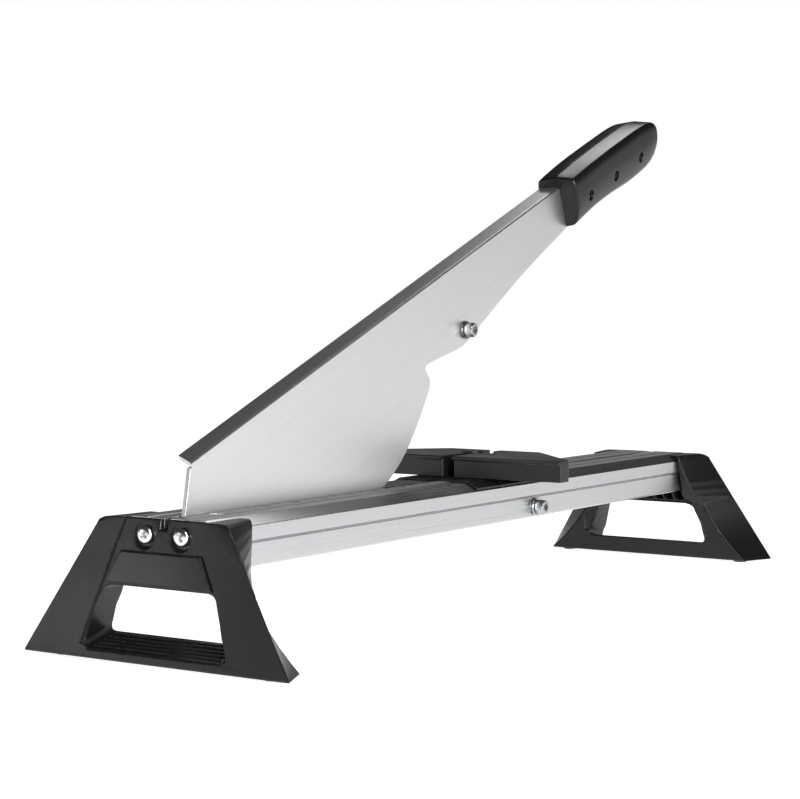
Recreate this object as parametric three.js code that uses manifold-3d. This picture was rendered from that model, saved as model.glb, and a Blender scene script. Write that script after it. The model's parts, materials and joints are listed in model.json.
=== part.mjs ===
// A lever-blade cutter for flooring tiles and planks, in millimetres, +Z up.
// The origin is on the ground under the middle of the base. +X runs along the base from the pivot foot to the
// far foot, and +Y points to the rear. The lever has its own frame, whose origin is the pivot's axis.
import * as THREE from 'three';
import { mergeVertices } from 'three/addons/utils/BufferGeometryUtils.js';
import Module from 'manifold-3d';

const wasm = await Module();
wasm.setup();

// ---------- driving dimensions ----------
const GAP = 0.3; // clearance between neighbouring pieces

// base rails: two hollow aluminium extrusions with the blade slot between them
const BASE_LENGTH = 650; // over the outer bottom edges of the feet
const RAIL_WIDTH = 34;
const RAIL_HEIGHT = 29.5;
const RAIL_BEVEL_WIDTH = 9.5;
const RAIL_BEVEL_DROP = 5;
const RAIL_WALL = 2.2;
const RAIL_BAND_HEIGHT = 15; // underside to the groove on the outer face
const RAIL_BAND_STEP = 0.8;
const RAIL_TOP_GROOVE = 15; // slot's middle to the fine groove on top
const WEB_INSIDE_EDGE = 2; // bevel's upper edge to the inner web
const SLOT_WIDTH = 5;
const UNDERSIDE = 56.5; // ground to the rails' underside
const PORT_RADIUS = 2.9;
const PORT_FROM_SLOT = 11.1;
const PORT_BELOW_TOP = 10;
const SCALE_START = 50; // outer bottom edge of the pivot foot to the printed strip
const SCALE_LENGTH = 250;
const SCALE_WIDTH = 10;
const SCALE_THICKNESS = 0.5;

// feet
const FOOT_WIDTH = 200; // across the base, at the ground
const FOOT_DEPTH = 27.4; // along the base, at the ground
const FOOT_SHOULDER_WIDTH = 101; // across the base, where the top corners start to round
const LEG_INNER_WIDTH = 175.2; // the legs at the ground, on the side towards the middle
const WAIST_WIDTH = 102; // the same side, over the hand opening
const FOOT_LEAN = 11.8; // how far the outer face leans in by the top
const CHEEK_REACH = 46; // how far the cheeks reach along the rails
const CHEEK_WALL = 2.6;
const END_WALL_INSIDE = 16.5; // the rails' ends, from the outer bottom edge
const FOOT_TOP_BELOW_RAIL = 0.5;
const FOOT_CORNER = 9;
const FOOT_SHELL = 3;
const GRIP_TOP_WIDTH = 83;
const GRIP_BOTTOM_WIDTH = 108;
const GRIP_TOP_HEIGHT = 45.6; // above the ground
const GRIP_SILL_HEIGHT = 7.5; // above the ground, on the outer face
const GRIP_SILL_RISE = 7.5;
const GRIP_CORNER = 6.5;
const SILL_RIBS = 5;
const PANEL_DEPTH = 1.5;
const PANEL_TOP_WIDTH = 58;
const PANEL_BOTTOM_WIDTH = 113;
const PLATE_BOTTOM_HEIGHT = 47;
const PLATE_TOP_HEIGHT = 66.5;
const PLATE_THICKNESS = 2.2;
const NOTCH_DEPTH = 6;
const PAD_RADIUS = 5.5;
const PAD_PROUD = 2;
const PAD_HOLD = 1.7; // depth of a pad in its socket
const FOOT_SCREW_RADIUS = 2.6;
const FOOT_SCREW_LENGTH = 18;
const FOOT_SCREW_HEAD = 5.5;
const FOOT_SCREW_HEAD_HEIGHT = 3;
const COUNTERBORE_RADIUS = 8;
const COUNTERBORE_DEPTH = 1.5;

// lever: blade sheet with a folded flange, its pivot and its stop
const REST_ANGLE = 22.2; // flange above level, in degrees
const SHEET = 3;
const FLANGE_WIDTH = 16;
const FLANGE_LENGTH = 480;
const FLANGE_START = 13.4; // ahead of the pivot
const FLANGE_ABOVE_PIVOT = 44.2;
const PIVOT_FROM_END = 40; // outer bottom edge of the foot to the pivot
const PIVOT_BELOW_TOP = 15;
const PIVOT_RADIUS = 4;
const PIVOT_HEAD_RADIUS = 6.5;
const PIVOT_HEAD_HEIGHT = 5;
const EYE_RADIUS = 12;
const BUSH_RADIUS = 5.7;
const THRUST_RADIUS = 11;
const STOP_FROM_PIVOT = 322.1; // along the flange
const STOP_BELOW_PIVOT = 2.8; // square to the flange
const STOP_WASHER_RADIUS = 6.25;

// M6 screws, washers and nuts
const M6 = 3;
const M6_HEAD_RADIUS = 5.1;
const M6_HEAD_HEIGHT = 6.4;
const M6_WASHER = 1.6;
const M6_NUT_ACROSS = 10;
const M6_NUT_HEIGHT = 5;
const TIE_FROM_END = 380; // outer bottom edge of the pivot foot to the tie bolt
const TIE_ABOVE_UNDERSIDE = 7.3;
const TIE_SLEEVE_RADIUS = 6;

// handle
const HANDLE_START = 485.4; // pivot to the near end, along the flange
const HANDLE_LENGTH = 150;
const HANDLE_WIDTH = 35;
const HANDLE_SEAM_Z = 53; // above the pivot
const HANDLE_DEPTH = 39;
const TANG_LENGTH = 122; // blade sheet inside the handle
const TANG_BOTTOM = 20; // above the pivot
const HANDLE_SCREW_START = 507.4;
const HANDLE_SCREW_PITCH = 44;
const HANDLE_SCREW_Z = 29.2;
const HANDLE_SCREW_SINK = 5;
const M4 = 2;
const M4_HEAD_RADIUS = 3.8;
const M4_HEAD_HEIGHT = 2.4;
const M4_NUT_ACROSS = 7;
const M4_NUT_HEIGHT = 3.2;

// fence: an arm on each rail, square on one side and mitred on the other, joined by a thin base sheet
const FENCE_FROM_END = 320; // outer bottom edge of the pivot foot to the fence's face
const FENCE_REACH = 90; // blade's plane to the end of each arm
const FENCE_DEPTH = 64;
const FENCE_TIP = 11;
const FENCE_BASE_HEIGHT = 16.5; // rails' top to the fence's top
const FENCE_WALL = 2.6;
const FENCE_GAP = 9;
const FENCE_LIP = 2.5;
const FENCE_LIP_THICKNESS = 3;
const FENCE_HOLE_RADIUS = 13;
const FENCE_SHEET = 1.2;
const FENCE_SHEET_LEAD = 20; // how far the sheet runs ahead of the fence's face
const FENCE_SHEET_SLOT = 6;
const FENCE_BRIDGE = 6;
const FLAP_LENGTH = 8.4;

// ---------- places that follow from them ----------
const RAIL_TOP = UNDERSIDE + RAIL_HEIGHT;
const HALF_SLOT = SLOT_WIDTH / 2;
const RAIL_OUTER = HALF_SLOT + RAIL_WIDTH;
const RAIL_EDGE = RAIL_OUTER - RAIL_BEVEL_WIDTH;
const FOOT_TOP = RAIL_TOP - FOOT_TOP_BELOW_RAIL;
const FOOT_BOTTOM = PAD_PROUD;
const LEFT_END = -BASE_LENGTH / 2;
const PIVOT = new THREE.Vector3(LEFT_END + PIVOT_FROM_END, 0, RAIL_TOP - PIVOT_BELOW_TOP);
const PORT_Y = HALF_SLOT + PORT_FROM_SLOT;
const PORT_Z = RAIL_TOP - PORT_BELOW_TOP;
const WEB_Y = RAIL_EDGE - WEB_INSIDE_EDGE;
const LEAN_PER_MM = FOOT_LEAN / (FOOT_TOP - FOOT_BOTTOM);
const leanAt = z => LEAN_PER_MM * (z - FOOT_BOTTOM);
const TIE_X = LEFT_END + TIE_FROM_END;
const TIE_Z = UNDERSIDE + TIE_ABOVE_UNDERSIDE;
const FENCE_X = LEFT_END + FENCE_FROM_END;
const BEVEL_SLOPE = RAIL_BEVEL_DROP / RAIL_BEVEL_WIDTH;
const STOP_REACH = Math.hypot(STOP_FROM_PIVOT, STOP_BELOW_PIVOT);
const STOP_LOW_X = PIVOT.x + Math.sqrt(STOP_REACH ** 2 - (PIVOT_BELOW_TOP + STOP_WASHER_RADIUS) ** 2);
const FENCE_HOLE_ROOM = FENCE_HOLE_RADIUS + FENCE_WALL + FENCE_BRIDGE;
const FENCE_HOLE_X = Math.min(STOP_LOW_X, FENCE_X + FENCE_DEPTH - FENCE_HOLE_ROOM);
const PAD_X = FOOT_DEPTH / 2;
const PAD_Y = LEG_INNER_WIDTH / 2 - 9.6;
const SCREW_SEAT = leanAt(PORT_Z) + PANEL_DEPTH + COUNTERBORE_DEPTH;

// ---------- materials ----------
const finish = (color, roughness, metalness) => new THREE.MeshStandardMaterial({ color, roughness, metalness });
const aluminium = () => finish(0xc2c4c6, 0.32, 1.0);
const stainless = () => finish(0xb9bbbd, 0.34, 1.0);
const blackPlastic = () => finish(0x151617, 0.5, 0.0);
const gripPlastic = () => finish(0x101112, 0.36, 0.0);
const zinc = () => finish(0xd2d4d6, 0.25, 1.0);
const darkSteel = () => finish(0x4c4e51, 0.3, 1.0);
const rubber = () => finish(0x0c0c0d, 0.85, 0.0);
const bronze = () => finish(0x9a7b45, 0.4, 1.0);
const nylon = () => finish(0xd9d7ce, 0.55, 0.0);
const printedFilm = () => finish(0xb4b6b8, 0.45, 0.2);
const blackSheet = () => finish(0x131415, 0.4, 0.2);

// ---------- shape helpers ----------
function toSolid(geometry) {
  const plain = geometry.clone();
  plain.deleteAttribute('normal');
  plain.deleteAttribute('uv');
  const merged = mergeVertices(plain, 1e-4);
  const vertProperties = new Float32Array(merged.attributes.position.array);
  const triVerts = new Uint32Array(merged.index.array);
  return new wasm.Manifold(new wasm.Mesh({ numProp: 3, vertProperties, triVerts }));
}

function toGeometry(solid) {
  const mesh = solid.getMesh();
  const geometry = new THREE.BufferGeometry();
  geometry.setAttribute('position', new THREE.BufferAttribute(mesh.vertProperties, 3));
  geometry.setIndex(new THREE.BufferAttribute(mesh.triVerts, 1));
  return geometry;
}

const shapeOf = points => new THREE.Shape(points.map(([a, b]) => new THREE.Vector2(a, b)));
const along = (from, to, share) => from + (to - from) * share;

// A slab between two surfaces: place(a, b, w) puts outline point (a, b) in space; w is 0 on one face, 1 on the other.
function slab(shape, place) {
  const geometry = new THREE.ExtrudeGeometry(shape, { depth: 1, bevelEnabled: false, curveSegments: 8 });
  const position = geometry.attributes.position;
  for (let i = 0; i < position.count; i += 1) {
    position.setXYZ(i, ...place(position.getX(i), position.getY(i), position.getZ(i)));
  }
  return toSolid(geometry);
}
const slabX = (shape, from, to) => slab(shape, (y, z, w) => [along(from, to, w), y, z]);
const slabY = (shape, from, to) => slab(shape, (x, z, w) => [x, along(to, from, w), z]);
const slabZ = (shape, from, to) => slab(shape, (x, y, w) => [x, y, along(from, to, w)]);

function box(low, high) {
  const size = high.map((value, axis) => value - low[axis]);
  const geometry = new THREE.BoxGeometry(...size);
  geometry.translate(...low.map((value, axis) => value + size[axis] / 2));
  return toSolid(geometry);
}

// A cylinder or polygonal rod along the named axis.
function rod(axis, centre, radius, from, to, sides = 32) {
  const geometry = new THREE.CylinderGeometry(radius, radius, to - from, sides);
  if (axis === 'x') geometry.rotateZ(-Math.PI / 2);
  if (axis === 'z') geometry.rotateX(Math.PI / 2);
  const middle = (from + to) / 2;
  const [a, b] = centre;
  const offset = { x: [middle, a, b], y: [a, middle, b], z: [a, b, middle] }[axis];
  geometry.translate(...offset);
  return toSolid(geometry);
}

const tube = (axis, centre, outer, inner, from, to, sides = 32) =>
  rod(axis, centre, outer, from, to, sides).subtract(rod(axis, centre, inner, from - 1, to + 1, 24));

// A closed solid through rings of equal length, each ring counter-clockwise when seen from the last ring.
function loft(rings) {
  const count = rings[0].length;
  const index = [];
  for (let r = 0; r + 1 < rings.length; r += 1) {
    for (let i = 0; i < count; i += 1) {
      const a = r * count + i;
      const b = r * count + (i + 1) % count;
      index.push(a, b, b + count, a, b + count, a + count);
    }
  }
  const last = (rings.length - 1) * count;
  for (let i = 1; i + 1 < count; i += 1) {
    index.push(0, i + 1, i);
    index.push(last, last + i, last + i + 1);
  }
  const geometry = new THREE.BufferGeometry();
  geometry.setAttribute('position', new THREE.Float32BufferAttribute(rings.flat(2), 3));
  geometry.setIndex(index);
  return toSolid(geometry);
}

const mirrorY = solid => solid.mirror([0, 1, 0]);

function part(name, solid, material) {
  const mesh = new THREE.Mesh(toGeometry(solid), material);
  mesh.name = name;
  return mesh;
}

// ---------- rails, drawn for the rear side ----------
function rail() {
  const band = UNDERSIDE + RAIL_BAND_HEIGHT;
  const recessed = RAIL_OUTER - RAIL_BAND_STEP;
  const outline = shapeOf([
    [HALF_SLOT, UNDERSIDE],
    [recessed - 1, UNDERSIDE],
    [recessed, UNDERSIDE + 1],
    [recessed, band - RAIL_BAND_STEP],
    [recessed - RAIL_BAND_STEP, band],
    [RAIL_OUTER, band + RAIL_BAND_STEP],
    [RAIL_OUTER, RAIL_TOP - RAIL_BEVEL_DROP],
    [RAIL_EDGE, RAIL_TOP],
    [RAIL_TOP_GROOVE + 0.5, RAIL_TOP],
    [RAIL_TOP_GROOVE, RAIL_TOP - 0.5],
    [RAIL_TOP_GROOVE - 0.5, RAIL_TOP],
    [HALF_SLOT, RAIL_TOP],
  ]);
  const low = UNDERSIDE + RAIL_WALL;
  const high = RAIL_TOP - RAIL_WALL;
  const outerWall = recessed - RAIL_BAND_STEP - RAIL_WALL + 0.6;
  const outerCell = shapeOf([
    [WEB_Y + RAIL_WALL / 2, low],
    [outerWall, low],
    [outerWall, high - (outerWall - RAIL_EDGE + 1.2) * BEVEL_SLOPE],
    [RAIL_EDGE - 0.4, high],
    [WEB_Y + RAIL_WALL / 2, high],
  ]);
  const innerCell = shapeOf([
    [HALF_SLOT + RAIL_WALL, low],
    [WEB_Y - RAIL_WALL / 2, low],
    [WEB_Y - RAIL_WALL / 2, high],
    [HALF_SLOT + RAIL_WALL, high],
  ]);
  const start = LEFT_END + END_WALL_INSIDE + GAP;
  const portWall = PORT_RADIUS + 1.7;
  const port = rod('x', [PORT_Y, PORT_Z], portWall, start, -start, 24)
    .add(box([start, PORT_Y - 1, PORT_Z], [-start, PORT_Y + 1, high + 1]));
  const across = [HALF_SLOT - 1, RAIL_OUTER + 1];
  const access = M6_NUT_ACROSS / 2 + 3;
  return slabX(outline, start, -start)
    .subtract(slabX(outerCell, start - 1, 1 - start))
    .subtract(slabX(innerCell, start - 1, 1 - start))
    .add(port)
    .subtract(rod('x', [PORT_Y, PORT_Z], PORT_RADIUS, start - 1, 1 - start, 24))
    .subtract(rod('y', [PIVOT.x, PIVOT.z], PIVOT_RADIUS + GAP, ...across))
    .subtract(rod('y', [PIVOT.x, PIVOT.z], access, WEB_Y + RAIL_WALL, across[1]))
    .subtract(rod('y', [TIE_X, TIE_Z], M6 + GAP, ...across, 24));
}

// ---------- feet: drawn with the outer bottom edge on x = 0 and the base towards +x ----------
const shoulder = RAIL_TOP - RAIL_BEVEL_DROP;
const outerHalfAt = z =>
  along(FOOT_WIDTH, FOOT_SHOULDER_WIDTH, (z - FOOT_BOTTOM) / (shoulder - FOOT_BOTTOM)) / 2;
const cheekShare = z => ((z - GRIP_TOP_HEIGHT) / (shoulder - GRIP_TOP_HEIGHT)) ** 0.65;

// Half width of the foot on its inner side: the legs close in towards the waist, then the cheeks follow the rails.
function innerHalfAt(z) {
  const cheekHalf = RAIL_OUTER + GAP + CHEEK_WALL;
  if (z > GRIP_TOP_HEIGHT) return along(WAIST_WIDTH / 2, cheekHalf, cheekShare(z));
  const share = (z - FOOT_BOTTOM) / (GRIP_TOP_HEIGHT - FOOT_BOTTOM);
  return along(LEG_INNER_WIDTH, WAIST_WIDTH, share * (1.4 - 0.4 * share)) / 2;
}
const innerFaceAt = z =>
  (z > GRIP_TOP_HEIGHT ? along(FOOT_DEPTH, CHEEK_REACH, cheekShare(z)) : FOOT_DEPTH);

function footBody() {
  const corners = (outerX, outerY, innerX, innerY, z) => [
    [outerX, -outerY, z],
    [innerX, -innerY, z],
    [innerX, innerY, z],
    [outerX, outerY, z],
  ];
  const level = z => corners(leanAt(z), outerHalfAt(z), innerFaceAt(z), innerHalfAt(z), z);
  const rings = [];
  for (let i = 0; i < 6; i += 1) rings.push(level(along(FOOT_BOTTOM, GRIP_TOP_HEIGHT, i / 6)));
  for (let i = 0; i <= 6; i += 1) rings.push(level(along(GRIP_TOP_HEIGHT, shoulder, i / 6)));
  for (const degrees of [30, 60, 90]) {
    const angle = THREE.MathUtils.degToRad(degrees);
    const z = shoulder + (FOOT_TOP - shoulder) * Math.sin(angle);
    const pull = 1 - Math.cos(angle);
    const outerY = outerHalfAt(shoulder) - FOOT_CORNER * pull;
    const innerY = innerHalfAt(shoulder) - 2 * pull;
    rings.push(corners(leanAt(z), outerY, CHEEK_REACH - pull, innerY, z));
  }
  return loft(rings);
}

// The hand opening runs right through, with its sill rising towards the middle of the base.
function handOpening() {
  const halfTop = GRIP_TOP_WIDTH / 2;
  const halfLow = GRIP_BOTTOM_WIDTH / 2;
  const round = GRIP_CORNER;
  const low = GRIP_SILL_HEIGHT;
  const top = GRIP_TOP_HEIGHT;
  const shape = new THREE.Shape();
  shape.moveTo(round - halfLow, low);
  shape.lineTo(halfLow - round, low);
  shape.quadraticCurveTo(halfLow, low, halfLow - round * 0.3, low + round);
  shape.lineTo(halfTop + round * 0.3, top - round);
  shape.quadraticCurveTo(halfTop, top, halfTop - round, top);
  shape.lineTo(round - halfTop, top);
  shape.quadraticCurveTo(-halfTop, top, -halfTop - round * 0.3, top - round);
  shape.lineTo(round * 0.3 - halfLow, low + round);
  shape.quadraticCurveTo(-halfLow, low, round - halfLow, low);
  return slab(shape, (y, z, w) => {
    const x = along(-FOOT_DEPTH, 2 * FOOT_DEPTH, w);
    const rise = GRIP_SILL_RISE * x / FOOT_DEPTH;
    return [x, y, z + rise * (top - z) / (top - low)];
  });
}

function sillRibs() {
  const pitch = (FOOT_DEPTH - 6) / SILL_RIBS;
  const reach = GRIP_BOTTOM_WIDTH / 2 - GRIP_CORNER;
  const ribs = [];
  for (let i = 0; i < SILL_RIBS; i += 1) {
    const x = 4.5 + pitch * i;
    const sill = GRIP_SILL_HEIGHT + GRIP_SILL_RISE * x / FOOT_DEPTH;
    ribs.push(box([x, -reach, sill - 2], [x + pitch * 0.5, reach, sill + 1]));
  }
  return ribs;
}

// A slab that follows the leaning outer face, between two depths inside it.
const faceSlab = (outline, from, to) =>
  slab(shapeOf(outline), (y, z, w) => [leanAt(z) + along(from, to, w), y, z]);

const panelHalf = z =>
  along(PANEL_BOTTOM_WIDTH, PANEL_TOP_WIDTH, (z - GRIP_SILL_HEIGHT) / (FOOT_TOP - GRIP_SILL_HEIGHT)) / 2;

function panelRecess() {
  const low = GRIP_SILL_HEIGHT + 2;
  const high = FOOT_TOP + 3;
  const outline = [
    [-panelHalf(low), low],
    [panelHalf(low), low],
    [panelHalf(high), high],
    [-panelHalf(high), high],
  ];
  return faceSlab(outline, -5, PANEL_DEPTH);
}

// Room for both rails, open at the top and towards the middle of the base; its lips run over the bevels.
function railPocket() {
  const lip = RAIL_EDGE + 3.5;
  const side = RAIL_OUTER + GAP;
  const overBevel = y => RAIL_TOP - (y - RAIL_EDGE) * BEVEL_SLOPE + GAP * 1.2;
  const high = FOOT_TOP + 5;
  const outline = [
    [-side, UNDERSIDE - GAP],
    [side, UNDERSIDE - GAP],
    [side, overBevel(side)],
    [lip, overBevel(lip)],
    [lip, high],
    [-lip, high],
    [-lip, overBevel(lip)],
    [-side, overBevel(side)],
  ];
  return slabX(shapeOf(outline), END_WALL_INSIDE, CHEEK_REACH + 5);
}

const gripHalfAt = z =>
  along(GRIP_BOTTOM_WIDTH, GRIP_TOP_WIDTH, (z - GRIP_SILL_HEIGHT) / (GRIP_TOP_HEIGHT - GRIP_SILL_HEIGHT)) / 2;

// Hollow under one leg, open at the ground, with a post for the pad.
function legHollow(side) {
  const top = FOOT_BOTTOM + 25;
  const level = z => {
    const near = gripHalfAt(z) + FOOT_SHELL + 1;
    const outerX = leanAt(z) + FOOT_SHELL;
    const innerX = FOOT_DEPTH - FOOT_SHELL;
    return [
      [outerX, near, z],
      [innerX, near, z],
      [innerX, innerHalfAt(Math.max(z, FOOT_BOTTOM)) - FOOT_SHELL - 1, z],
      [outerX, outerHalfAt(z) - FOOT_SHELL - 2, z],
    ];
  };
  const post = rod('z', [PAD_X, PAD_Y], PAD_RADIUS + 2.5, -1, top + 1, 24);
  const rib = box([0, PAD_Y - 1, -1], [FOOT_DEPTH, PAD_Y + 1, top + 1]);
  const hollow = loft([level(FOOT_BOTTOM - 1), level(top)]).subtract(post).subtract(rib);
  return side > 0 ? hollow : mirrorY(hollow);
}

// Slim pocket beside the hand opening, on the inner side, narrow at its foot.
function innerPocket(side) {
  const low = along(GRIP_SILL_HEIGHT, GRIP_TOP_HEIGHT, 0.28);
  const high = along(GRIP_SILL_HEIGHT, GRIP_TOP_HEIGHT, 0.75);
  const outline = [
    [gripHalfAt(low) + FOOT_SHELL, low],
    [gripHalfAt(low) + FOOT_SHELL + 3, low + 0.5],
    [innerHalfAt(high - 5) - 2.5, high - 5],
    [gripHalfAt(high) + FOOT_SHELL, high],
  ];
  const pocket = slabX(shapeOf(outline), FOOT_DEPTH - 1.6, FOOT_DEPTH + 3);
  return side > 0 ? pocket : mirrorY(pocket);
}

function foot() {
  let solid = footBody()
    .subtract(panelRecess())
    .subtract(railPocket())
    .subtract(handOpening());
  for (const rib of sillRibs()) solid = solid.add(rib.intersect(footBody()));
  for (const side of [-1, 1]) {
    const port = [side * PORT_Y, PORT_Z];
    solid = solid
      .subtract(legHollow(side))
      .subtract(innerPocket(side))
      .subtract(rod('z', [PAD_X, side * PAD_Y], PAD_RADIUS + GAP, 0, FOOT_BOTTOM + PAD_HOLD + GAP, 28))
      .subtract(rod('x', port, FOOT_SCREW_RADIUS + GAP, 0, END_WALL_INSIDE + 5, 24))
      .subtract(rod('x', port, COUNTERBORE_RADIUS, -5, SCREW_SEAT, 36));
  }
  // recesses between the fins under the rails
  const cell = RAIL_OUTER / 4;
  for (let i = -4; i < 4; i += 1) {
    const low = [END_WALL_INSIDE + 2, i * cell + 1, GRIP_TOP_HEIGHT + FOOT_SHELL];
    solid = solid.subtract(box(low, [CHEEK_REACH + 5, (i + 1) * cell - 1, UNDERSIDE]));
  }
  const notchLow = [-5, -HALF_SLOT, FOOT_TOP - NOTCH_DEPTH];
  return solid.subtract(box(notchLow, [END_WALL_INSIDE + 1, HALF_SLOT, FOOT_TOP + 1]));
}

// Blank plate on the foot's recessed panel, with stepped edges and a rounded lower roll.
function namePlate() {
  const outline = inset => {
    const low = PLATE_BOTTOM_HEIGHT + inset;
    const high = PLATE_TOP_HEIGHT - inset;
    const halfLow = panelHalf(low) - 3 - inset;
    const halfHigh = panelHalf(high) - 6 - inset;
    return [[-halfLow, low], [halfLow, low], [halfHigh, high], [-halfHigh, high]];
  };
  const back = PANEL_DEPTH - GAP;
  let solid = faceSlab(outline(0), back - PLATE_THICKNESS * 0.4, back);
  solid = solid.add(faceSlab(outline(0.5), back - PLATE_THICKNESS * 0.7, back));
  return solid.add(faceSlab(outline(1.1), back - PLATE_THICKNESS, back));
}

// ---------- fasteners ----------
// Cross recess of a head, from `from` to `to` along the named axis.
function crossRecess(axis, centre, reach, from, to) {
  const [a, b] = centre;
  const narrow = reach * 0.24;
  const bar = (halfA, halfB) => {
    const low = { x: [from, a - halfA, b - halfB], y: [a - halfA, from, b - halfB] }[axis];
    const high = { x: [to, a + halfA, b + halfB], y: [a + halfA, to, b + halfB] }[axis];
    return box(low, high);
  };
  return bar(reach, narrow).add(bar(narrow, reach));
}

function footScrew(side) {
  const centre = [side * PORT_Y, PORT_Z];
  const seat = SCREW_SEAT - GAP;
  const face = seat - FOOT_SCREW_HEAD_HEIGHT;
  return rod('x', centre, FOOT_SCREW_HEAD, face + 1.2, seat, 28)
    .add(rod('x', centre, FOOT_SCREW_HEAD - 0.7, face + 0.5, seat, 28))
    .add(rod('x', centre, FOOT_SCREW_HEAD - 2, face, seat, 28))
    .add(rod('x', centre, FOOT_SCREW_RADIUS, seat - 1, seat + FOOT_SCREW_LENGTH, 20))
    .subtract(crossRecess('x', centre, 3, face - 1, face + 2));
}

// Socket-head screw along y: head on the -y side with its underside at `seat`, shank to `tip`.
function capScrew(x, z, seat, tip) {
  const face = seat - M6_HEAD_HEIGHT;
  return rod('y', [x, z], M6_HEAD_RADIUS, face + 0.7, seat, 36)
    .add(rod('y', [x, z], M6_HEAD_RADIUS - 0.6, face, seat, 36))
    .add(rod('y', [x, z], M6, seat - 1, tip, 24))
    .subtract(rod('y', [x, z], 2.9, face - 1, face + 3, 6));
}

const hexNut = (x, z, across, bore, from, to) =>
  tube('y', [x, z], across / Math.sqrt(3), bore + GAP / 2, from, to, 6);

// ---------- fence, drawn for the rear side ----------
function fenceArm(side) {
  const base = RAIL_TOP + GAP + FENCE_SHEET + GAP;
  const top = RAIL_TOP + FENCE_BASE_HEIGHT;
  const diagonal = FENCE_DEPTH - FENCE_TIP;
  const outline = (inset, lip) => {
    const near = FENCE_GAP / 2 + inset;
    const back = FENCE_X + FENCE_DEPTH - inset;
    const end = FENCE_REACH - inset;
    const mitre = inset * (Math.SQRT2 - 1);
    return shapeOf([
      [FENCE_X + inset - lip, near],
      [back, near],
      [back, FENCE_REACH - diagonal - mitre],
      [FENCE_X + FENCE_TIP - mitre, end],
      [FENCE_X + inset - lip, end],
    ]);
  };
  const centre = [FENCE_HOLE_X, 0];
  const skirt = rod('z', centre, FENCE_HOLE_RADIUS + FENCE_WALL, base - 2, top, 48);
  const hollow = slabZ(outline(FENCE_WALL, 0), base - 1, top - FENCE_LIP_THICKNESS).subtract(skirt);
  let solid = slabZ(outline(0, 0), base, top).subtract(hollow);
  solid = solid.add(slabZ(outline(0, FENCE_LIP), top - FENCE_LIP_THICKNESS, top));
  for (const y of [RAIL_OUTER + 8, RAIL_OUTER + 26]) {
    const reach = FENCE_X + FENCE_TIP + FENCE_REACH - y - 1.5;
    solid = solid.add(box([FENCE_X + 1, y, base], [reach, y + 2, top - 1]));
  }
  solid = solid.subtract(rod('z', centre, FENCE_HOLE_RADIUS, base - 3, top + 1, 48));
  return side > 0 ? solid : mirrorY(solid);
}

function fenceBase() {
  const low = RAIL_TOP + GAP;
  const high = low + FENCE_SHEET;
  const edge = RAIL_EDGE + 0.6;
  const end = edge + FLAP_LENGTH;
  const fall = FLAP_LENGTH * BEVEL_SLOPE;
  const section = shapeOf([
    [-end, low - fall],
    [-edge, low],
    [edge, low],
    [end, low - fall],
    [end, high - fall],
    [edge, high],
    [-edge, high],
    [-end, high - fall],
  ]);
  const start = FENCE_X - FENCE_SHEET_LEAD;
  const finishX = FENCE_X + FENCE_DEPTH;
  const halfSlot = FENCE_SHEET_SLOT / 2;
  return slabX(section, start, finishX)
    .subtract(box([start - 1, -halfSlot, low - 1], [finishX - FENCE_BRIDGE, halfSlot, high + 1]))
    .subtract(rod('z', [FENCE_HOLE_X, 0], FENCE_HOLE_RADIUS, low - 1, high + 1, 48));
}

// ---------- lever, in its own frame: the pivot's axis is the origin, x runs along the flange ----------
function bladeOutline() {
  const tail = 0.532; // run back per rise, of the straight end from the flange to the eye
  const tangent = THREE.MathUtils.radToDeg(Math.atan2(tail, 1));
  const shape = new THREE.Shape();
  shape.moveTo(FLANGE_START, FLANGE_ABOVE_PIVOT - 1);
  for (let i = 0; i <= 10; i += 1) {
    const angle = THREE.MathUtils.degToRad(along(180 - tangent, 252, i / 10));
    shape.lineTo(EYE_RADIUS * Math.cos(angle), EYE_RADIUS * Math.sin(angle));
  }
  shape.lineTo(163.4, -58.8);
  shape.bezierCurveTo(178, -62.5, 197, -60.5, 221.7, -50.3);
  shape.bezierCurveTo(235, -43.5, 247, -35.5, 262, -24.6);
  shape.quadraticCurveTo(268.5, -20, 267.2, -15);
  shape.lineTo(265.4, -9);
  shape.quadraticCurveTo(264.8, -6, 268, -5.9);
  shape.lineTo(277, -6.7);
  shape.lineTo(305.7, -11.3);
  shape.quadraticCurveTo(317.7, -13.6, 331.2, -10.1);
  shape.bezierCurveTo(358.7, -5, 401.6, 2.7, 434, 6.2);
  shape.lineTo(HANDLE_START + 4, 12.2);
  shape.lineTo(HANDLE_START + 12, TANG_BOTTOM);
  shape.lineTo(HANDLE_START + TANG_LENGTH, TANG_BOTTOM);
  shape.lineTo(HANDLE_START + TANG_LENGTH, FLANGE_ABOVE_PIVOT - SHEET);
  shape.lineTo(FLANGE_START + FLANGE_LENGTH - 1, FLANGE_ABOVE_PIVOT - 1);
  return shape;
}

const handleScrewPlaces = [0, 1, 2].map(i => HANDLE_SCREW_START + i * HANDLE_SCREW_PITCH);

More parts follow.
